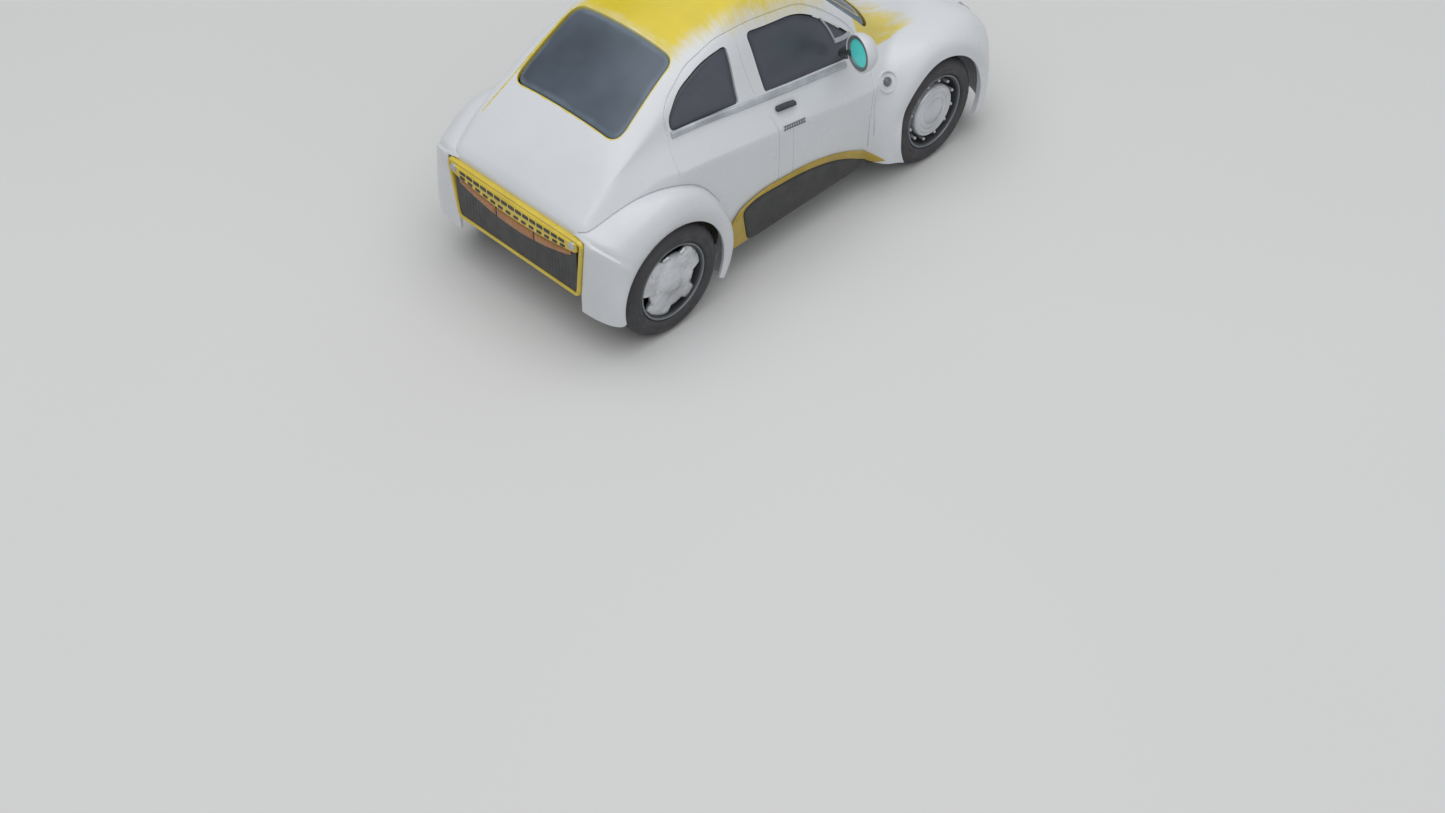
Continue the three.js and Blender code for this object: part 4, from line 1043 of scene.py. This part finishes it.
def build_side_trim():
    for name, side in SIDES:
        path = side_line(side, MOULDING)
        make(f"belt_moulding_strip_{name}", *sweep(*path, oval(1.08, 0.75, 0.0, 16)), "bright",
             replaces=[f"belt_moulding_{name}"], slot="silver_trim", sharp=60)
        pad(f"door_handle_grip_{name}", HANDLE_AT, HANDLE_LENGTH, 1.7, HANDLE_SLOPE, side, 0.95,
            "gasket", [f"door_handle_{name}"], "panel_black", 0.7)
        louvres = []
        for row in (0.62, -0.62):
            bar = [(VENT_AT[0] + u * VENT_LENGTH / 2, VENT_AT[1] + u * VENT_SLOPE * 5 + row)
                   for u in (-1, 0, 1)]
            louvres.append(sweep(*side_line(side, bar), oval(0.22, 0.3)))
        for step in range(9):
            x = VENT_AT[0] + (step - 4) * 1.08
            z = VENT_AT[1] + VENT_SLOPE * (x - VENT_AT[0])
            slat = [(x - 0.2, z - 0.5), (x, z), (x + 0.2, z + 0.5)]
            louvres.append(sweep(*side_line(side, slat, 0.4), oval(0.26, 0.26)))
        make(f"side_vent_louvre_{name}", *join(louvres), "grey",
             replaces=[f"side_vent_{name}"], slot="silver_trim")
        # The trim band's yellow carries painted shade: a darker copy of the yellow paint.
        side_plate(f"skirt_trim_band_{name}", SKIRT_TRIM, side, SKIRT_DEPTH + 0.1, "yellow_in_painted_shade",
                   f"skirt_trim_{name}", "trim_yellow")
        # The insert's black carries painted shade: a darker copy of the satin black.
        side_plate(f"side_skirt_insert_{name}", SKIRT, side, SKIRT_DEPTH + 0.5, "skirt",
                   f"side_skirt_{name}", "panel_black")
    x, z = CAP_AT
    spot, normal = skin.on_side(-1)(x, z)
    matrix = Matrix.Translation(spot) @ Vector(normal).to_track_quat("Z", "Y").to_matrix().to_4x4()
    ring = [(3.25, -1), (3.25, -0.1), (3.4, 0.12), (3.65, 0.12), (3.8, -0.1), (3.8, -1)]
    knob = [(0, -1), (1.6, -1), (1.6, 0), (1.45, 0.15), (1.2, 0.05), (1.1, 0.3), (0.8, 0.42),
            (0.6, 0.2), (0.3, 0.4), (0, 0.45)]
    placed("fuel_cap_ring", matrix, lathe(ring, 72, True), "plain_white", slot="body_white")
    placed("fuel_cap_knob", matrix, lathe(knob, 48), "grey", replaces=["fuel_cap"],
           slot="silver_trim")


build_side_trim()

# ---- Rear panel and lamps ----


def trapezoid(size, amount=0.0):
    radius = 2.2 - amount
    low, high = size["bottom"] + amount, size["top"] - amount
    wide, narrow = size["top_width"] - amount, size["bottom_width"] - amount
    return rounded([(-narrow, low, radius), (narrow, low, radius), (wide, high, radius),
                    (-wide, high, radius)], 0.6)


def frame_ring(size, width, back, face):
    """A rounded bead round a panel's edge."""
    outline = trapezoid(size, width / 2)
    normals = np.tile([math.copysign(1, face - back), 0, 0], (len(outline), 1))
    path = [((back + face) / 2, y, z) for y, z in outline]
    deep = abs(face - back) / 2
    profile = [(-width / 2, -deep), (width / 2, -deep), (width / 2, deep * 0.3),
               (width * 0.36, deep * 0.85), (0, deep), (-width * 0.36, deep * 0.85),
               (-width / 2, deep * 0.3)]
    return sweep(path, normals, profile, closed=True)


def relief_band(low_at, high_at, start, end, back, rise, columns, rows):
    """A closed band facing along X between two lines, with its face raised by rise(u, share)."""
    rings = []
    for u in np.linspace(start, end, columns):
        low, high = low_at(u), high_at(u)
        ring = [(back, u, low)]
        for share in np.linspace(0, 1, rows):
            ring.append((back + rise(u, share), u, low + (high - low) * share))
        ring.append((back, u, high))
        rings.append(ring)
    return loft(rings)


def sag(end, middle, width):
    return lambda y: end + (middle - end) * (1 - (y / width) ** 2)


# The strip's two rows of dashes: share of its height, pitch, length, height, offset
DASH_ROWS = ((0.7, 3.3, 2.6, 1.25, 0), (0.27, 3.6, 2.1, 0.95, 1.7))
PLATE_HALF = 28.3


def build_rear_panel():
    back = REAR_X - GAP
    face = back - PANEL_THICK
    make("rear_panel_bead", *frame_ring(BEAD, PANEL_FRAME + 0.3, back + 0.4, face - 0.5), "yellow",
         replaces=["rear_panel_frame"], slot="trim_yellow", sharp=50)

    def panel_rise(u, share):
        rib = 0.12 * max(0, math.cos(2 * math.pi * u / 1.5)) ** 3 if 15 < abs(u) < 25 else 0
        return -(PANEL_THICK + (rib if 0.12 < share < 0.52 else 0))
    low, high = PANEL["bottom"] + 0.8, PANEL["top"] - 0.3
    make("rear_panel_plate", *relief_band(lambda u: low, lambda u: high, -PLATE_HALF, PLATE_HALF,
                                          back, panel_rise, 340, 26),
         "black", replaces=["rear_panel"], slot="panel_black", sharp=50)
    strip_low = sag(STRIP_END, STRIP_MIDDLE, STRIP_WIDTH)
    lens_low = sag(LENS_END, LENS_MIDDLE, LENS_WIDTH)

    def strip_rise(u, share):
        edge = min(share, 1 - share, (STRIP_WIDTH - abs(u)) / 5)
        return -(1.2 * smoothstep(edge, -0.12, 0.1))
    make("tail_lamp_strip_body",
         *relief_band(strip_low, lambda u: STRIP_TOP, -STRIP_WIDTH, STRIP_WIDTH, face + 0.1,
                      strip_rise, 120, 14),
         "yellow", replaces=["tail_lamp_strip"], slot="trim_yellow", sharp=50)
    dashes = []
    for row, pitch, length, high, offset in DASH_ROWS:
        for step in range(-8, 9):
            y = step * pitch + offset
            if abs(y) > STRIP_WIDTH - 4.4:
                continue
            low, rise = strip_low(y), STRIP_TOP - strip_low(y)
            middle = low + rise * row
            half = min(high, rise * 0.24) / 2
            tilt = (strip_low(y + 1) - strip_low(y - 1)) / 2 * (1 - row) * length / 2
            outline = rounded([(y + u * length / 2, middle + v * half + u * tilt, 0.2)
                               for u, v in SQUARE], 0.2)
            dashes.append(plate(outline, "x", face - 0.9, face - 1.3, 0.08))
    make("tail_lamp_dashes", *join(dashes), "black", slot="panel_black")
    for name, side in SIDES:
        stud, stud_faces = lathe([(0, 0), (1.3, 0), (1.3, 0.9), (1, 1.15), (0, 1.25)], 40)
        spot = [(face - 0.35 - h, side * (STRIP_WIDTH - 1.6) + a, 42.2 + b) for a, b, h in stud]
        make(f"tail_lamp_stud_{name}", spot, stud_faces, "bright", slot="silver_trim")
    width = 2 * LENS_WIDTH / 3
    for i, name in enumerate(("right", "center", "left")):
        start = -LENS_WIDTH + i * width + 0.35

        def lens_rise(u, share, start=start, end=start + width - 0.7):
            edge = min(share * 1.4, (1 - share) * 1.4, (u - start) / 3, (end - u) / 3)
            ribs = 0.09 * math.cos(2 * math.pi * u / 0.9)
            return -(0.2 + 0.75 * smoothstep(edge, -0.1, 0.4) + ribs * (0.1 < share < 0.9))
        make(f"rear_lens_glass_{name}",
             *relief_band(lens_low, lambda u: strip_low(u) - 0.35, start, start + width - 0.7,
                          face + 0.1, lens_rise, 110, 12),
             "amber", replaces=[f"rear_lens_{name}"], slot="amber_lens", sharp=60)


build_rear_panel()

# ---- Nose ----


def build_nose():
    back = NOSE_X
    make("front_panel_bead", *frame_ring(GRILLE, 1.2, back - 0.2, back + 1.3), "yellow",
         replaces=["front_panel_frame"], slot="trim_yellow", sharp=50)

    def rise(u, share):
        bar = 0.3 * max(0, math.cos(2 * math.pi * share * 4.5)) ** 2
        return 0.75 + bar * (0.06 < share < 0.94)
    low, high = GRILLE["bottom"] + 0.8, GRILLE["top"] - 0.8
    make("front_panel_grille",
         *relief_band(lambda u: low, lambda u: high, -GRILLE["bottom_width"] + 0.4,
                      GRILLE["bottom_width"] - 0.4, back + 0.2, rise, 40, 70),
         "black", replaces=["front_panel"], slot="panel_black", sharp=50)
    for name, side in SIDES:
        matrix = lamp_matrix(side)
        r, d = LAMP_RADIUS, LAMP_DEPTH
        dome = [(0, 2), (r - 0.9, 2), (r - 0.9, d - 0.1)]
        for turn in np.linspace(0, math.pi / 2, 14)[1:]:
            dome.append(((r - 0.9) * math.cos(turn), d - 0.1 + 2 * math.sin(turn)))
        points, faces = lathe(dome, 120)
        ribs = np.maximum(0, points[:, 2] - d) * 0.09 * np.cos(points[:, 0] * 2 * math.pi / 1.3)
        points[:, 2] += ribs
        placed(f"headlight_lens_{name}", matrix, (points, faces), "lamp",
               replaces=[f"headlight_{name}"], slot="lamp_lens", sharp=60)
        ring = [(r - 0.9, 0), (r, 0), (r, d - 0.2), (r - 0.1, d + 0.35), (r - 0.45, d + 0.6),
                (r - 0.8, d + 0.4), (r - 0.9, d)]
        placed(f"headlight_rim_{name}", matrix, lathe(ring, 96, True), "bright",
               slot="silver_trim")


build_nose()

# ---- Door mirrors ----


def build_mirrors():
    for name, side in SIDES:
        x, y, z = MIRROR_AT
        turn = Matrix.Rotation(math.radians(side * MIRROR_TURN), 4, "Z")
        tilt = Matrix.Rotation(math.radians(MIRROR_TILT), 4, "Y")
        forward = Matrix.Rotation(math.radians(90), 4, "Y")
        matrix = Matrix.Translation((x, side * y, z)) @ turn @ tilt @ forward
        r, d = MIRROR_RADIUS, MIRROR_DEPTH
        cup = [(0, 1.2), (r - 0.85, 1.2), (r - 0.8, 0.3), (r - 0.55, 0.02), (r - 0.2, 0.02),
               (r, 0.3)]
        for t in np.linspace(0.06, 1, 22):
            cup.append((r * (1 - t ** 2.4) ** 0.52, 0.3 + (d - 0.3) * t))
        placed(f"mirror_cup_{name}", matrix, lathe(cup, 96), "plain_white",
               replaces=[f"mirror_shell_{name}"], slot="body_white", sharp=50)
        rim = [(r - 1.85, 0.5), (r - 1.6, 0.15), (r - 0.8, 0.05), (r - 0.5, 0.25), (r - 0.6, 1.1),
               (r - 1.85, 1.1)]
        placed(f"mirror_rim_{name}", matrix, lathe(rim, 96, True), "grey", slot="panel_black")
        # The mirror face carries painted light: teal made brighter than its own colour.
        glass_profile = [(0, 1.15), (r - 1.7, 1.15), (r - 1.7, 0.62), (r * 0.5, 0.42), (0, 0.35)]
        placed(f"mirror_face_{name}", matrix, lathe(glass_profile, 96), "teal_painted_light",
               replaces=[f"mirror_glass_{name}"], slot="mirror_glass", sharp=50)
        bends = smooth_path([(px, side * py, pz) for px, py, pz in MIRROR_ARM], 8)
        up = np.tile([0.3, 0, 1.0], (len(bends), 1))
        make(f"mirror_stalk_{name}", *sweep(bends, up, oval(2.3, 1.9)), "gasket",
             replaces=[f"mirror_arm_{name}"], slot="panel_black")


build_mirrors()

# ---- Wheels ----


def tyre_profile():
    inner, outer = TYRE_Y
    seat = RIM_RADIUS + 0.3
    side = [(seat, outer - 0.9), (seat + 0.35, outer - 0.35), (seat + 0.9, outer - 0.1),
            (seat + 1.7, outer), (seat + 2.2, outer - 0.22), (seat + 2.7, outer - 0.02),
            (seat + 3.3, outer - 0.06), (18.3, outer - 0.55), (19.15, outer - 1.2),
            (19.75, outer - 2.1), (WHEEL_RADIUS, outer - 3.2)]
    tread = []
    for middle in (-3, -1, 1, 3):
        centre = (inner + outer) / 2 - middle
        tread += [(WHEEL_RADIUS, centre + 0.3), (WHEEL_RADIUS - 0.35, centre + 0.16),
                  (WHEEL_RADIUS - 0.35, centre - 0.16), (WHEEL_RADIUS, centre - 0.3)]
    back = [(WHEEL_RADIUS, inner + 3.2), (19.2, inner + 1), (17.6, inner), (seat + 0.5, inner),
            (seat, inner + 0.5)]
    return side + tread + back


def rounded_rim(r0, y0, r1, y1, bulge, steps=8):
    """Profile points from one place to another, bulging outwards between them."""
    return [(r0 + (r1 - r0) * t, y0 + (y1 - y0) * t + bulge * math.sin(math.pi * t))
            for t in np.linspace(0, 1, steps)]


# Gaps in the rear hub cap: middle and half angle in degrees, and depth
HUB_GAPS = [(88, 34, 2.6), (193, 15, 3), (279, 22, 2.4), (342, 23, 2.8)]
CAP_REACH, CAP_FACE = 12.75, 9.2
LUGS, LUG_CIRCLE = 12, 11.2


def lobed(turn):
    """The rear hub cap's radius by angle: uneven arms that reach the rim, with gaps between."""
    depth = 0
    for middle, half, deep in HUB_GAPS:
        away = abs((math.degrees(turn) - middle + 180) % 360 - 180)
        depth = max(depth, deep * (1 - smoothstep(away, half * 0.6, half)))
    return CAP_REACH - depth


AXLES = {"rear": REAR_AXLE, "front": FRONT_AXLE}


def on_wheel(wheel, label, parts, material, replaces=(), slot="hub_silver", sharp=40):
    """A piece of a wheel, (place, name, side), from a mesh of (across, up, out) points."""
    place, name, side = wheel
    x, z = AXLES[place]
    points, faces = parts
    make(f"{place}_{label}_{name}", turned(points, x, side, z), faces, material,
         f"{place}_axle_set", replaces, slot, sharp)


def build_wheels():
    inner, outer = TYRE_Y
    well = [(0, outer - 5), (12.2, outer - 5), (12.6, outer - 1.4), (13.5, outer - 0.75),
            (13.6, inner + 1), (12.4, inner + 1), (12.4, outer - 7.5), (3.2, outer - 7.5),
            (3.2, outer - 9), (0, outer - 9)]
    ring = [(12.95, outer - 1.7), (13.0, outer - 1.0), (13.15, outer - 0.68),
            (13.45, outer - 0.6), (13.7, outer - 0.75), (13.7, outer - 1.7)]
    for place, build_cap in (("rear", build_lobed_cap), ("front", build_disc_cap)):
        for name, side in SIDES:
            wheel = place, name, side
            on_wheel(wheel, "tyre_rubber", lathe(tyre_profile(), 160, True), "rubber",
                     [f"{place}_tyre_{name}"], "tyre_rubber")
            on_wheel(wheel, "rim_well", lathe(well, 128), "hub_dark", [f"{place}_hub_{name}"])
            on_wheel(wheel, "rim_ring", lathe(ring, 128, True), "grey")
            build_cap(wheel, outer)


def build_lobed_cap(wheel, outer):
    turns = np.linspace(0, 2 * math.pi, 200, endpoint=False)
    levels = [(0.6, -4.6), (1.0, -2.3), (0.99, -1.9), (0.97, -1.6), (0.93, -1.3), (0.84, -0.98),
              (0.72, -0.8), (0.6, -0.95), (0.46, -1.0), (0.42, -0.8), (0.3, -0.6), (0.2, -0.5),
              (0.08, -0.45)]
    rings = []
    for share, height in levels:
        reach = [(lobed(a) if share > 0.5 else CAP_FACE) * share for a in turns]
        rings.append([(r * math.cos(a), r * math.sin(a), outer + height)
                      for r, a in zip(reach, turns)])
    on_wheel(wheel, "hub_cap", loft(rings), "chrome", sharp=50)


def build_disc_cap(wheel, outer):
    profile = [(0, outer - 5), (9.4, outer - 5), (9.7, outer - 2), (9.5, outer - 1.4),
               (9.1, outer - 1.1)]
    profile += rounded_rim(8.6, outer - 1.35, 7.3, outer - 1.05, 0.16)
    profile += rounded_rim(7, outer - 1.25, 5.2, outer - 0.85, 0.16)
    profile += [(4.9, outer - 1.05), (4.3, outer - 0.6), (1.4, outer - 0.4), (0, outer - 0.35)]
    on_wheel(wheel, "hub_cap", lathe(profile, 128), "hub", sharp=50)
    stud, faces = lathe([(0, outer - 5), (0.62, outer - 5), (0.62, outer - 2.1),
                         (0.4, outer - 1.8), (0, outer - 1.7)], 20)
    turns = [2 * math.pi * (step + 0.5) / LUGS for step in range(LUGS)]
    lugs = [(stud + [LUG_CIRCLE * math.cos(a), LUG_CIRCLE * math.sin(a), 0], faces)
            for a in turns]
    on_wheel(wheel, "hub_lugs", join(lugs), "hub", sharp=35)


build_wheels()

# ---- Carried-over working parts ----

KEPT = {
    "base_plate": "tinplate", "front_axle_bracket": "tinplate", "screw_front": "steel",
    "screw_rear": "steel", "motor_plate_left": "tinplate", "motor_plate_right": "tinplate",
    "motor_pillar_front": "steel", "motor_pillar_rear": "steel", "front_axle": "steel",
    "rear_axle": "steel", "drive_gear": "brass", "idler_shaft": "steel", "idler_gear": "brass",
    "flywheel_shaft": "steel", "flywheel": "steel",
}
for node, material in KEPT.items():
    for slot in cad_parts[node].material_slots:
        slot.material = M[material]

# ---- Floor, light and camera ----


def build_stage():
    nodes = Nodes("floor_paper")
    base = nodes.ramp(nodes.noise(3, 2), (0.3, (0.66, 0.66, 0.66)), (0.7, (0.68, 0.68, 0.68)))
    nodes.link(base, "Base Color")
    nodes.set(Roughness=0.9, Specular_IOR_Level=0.1)
    M["floor"] = nodes.material
    mesh = bpy.data.meshes.new("floor")
    work = bmesh.new()
    bmesh.ops.create_grid(work, x_segments=8, y_segments=8, size=3)
    work.to_mesh(mesh)
    work.free()
    floor = bpy.data.objects.new("floor", mesh)
    mesh.materials.append(M["floor"])
    bpy.context.scene.collection.objects.link(floor)


# Places and sizes of the lights in metres, the camera's place in millimetres, angles in degrees
WORLD_TINT, WORLD_STRENGTH = (0.97, 0.985, 1, 1), 0.37
TOP_LIGHT_AT, TOP_LIGHT_SIZE, TOP_LIGHT_POWER = (-0.2, -0.16, 1.3), (2, 2), 17.2
LIGHT_AIM = (0, 0, 0.03)
CAMERA_AT, CAMERA_ACROSS, CAMERA_DOWN = (-394.87, -387.88, 430.93), 44.541, 44.328
LENS_MM, SENSOR_MM = 50, 36


def area_light(name, place, size, power):
    data = bpy.data.lights.new(name, "AREA")
    data.shape = "RECTANGLE"
    data.size, data.size_y = size
    data.energy = power
    lamp = bpy.data.objects.new(name, data)
    lamp.location = place
    lamp.rotation_euler = (Vector(LIGHT_AIM) - Vector(place)).to_track_quat("-Z", "Y").to_euler()
    bpy.context.scene.collection.objects.link(lamp)


def build_light():
    world = bpy.data.worlds.new("studio")
    world.use_nodes = True
    background = world.node_tree.nodes["Background"]
    background.inputs["Color"].default_value = WORLD_TINT
    background.inputs["Strength"].default_value = WORLD_STRENGTH
    bpy.context.scene.world = world
    area_light("top_light", TOP_LIGHT_AT, TOP_LIGHT_SIZE, TOP_LIGHT_POWER)


def build_camera():
    data = bpy.data.cameras.new("camera")
    data.lens, data.sensor_width = LENS_MM, SENSOR_MM
    data.clip_start = 0.01
    camera = bpy.data.objects.new("camera", data)
    camera.location = Vector(CAMERA_AT) * MM
    across, down = math.radians(CAMERA_ACROSS), math.radians(CAMERA_DOWN)
    look = Vector((math.cos(across) * math.cos(down), math.sin(across) * math.cos(down),
                   -math.sin(down)))
    camera.rotation_euler = look.to_track_quat("-Z", "Y").to_euler()
    bpy.context.scene.collection.objects.link(camera)
    bpy.context.scene.camera = camera


build_stage()
build_light()
build_camera()
bpy.context.scene.view_settings.view_transform = "Standard"
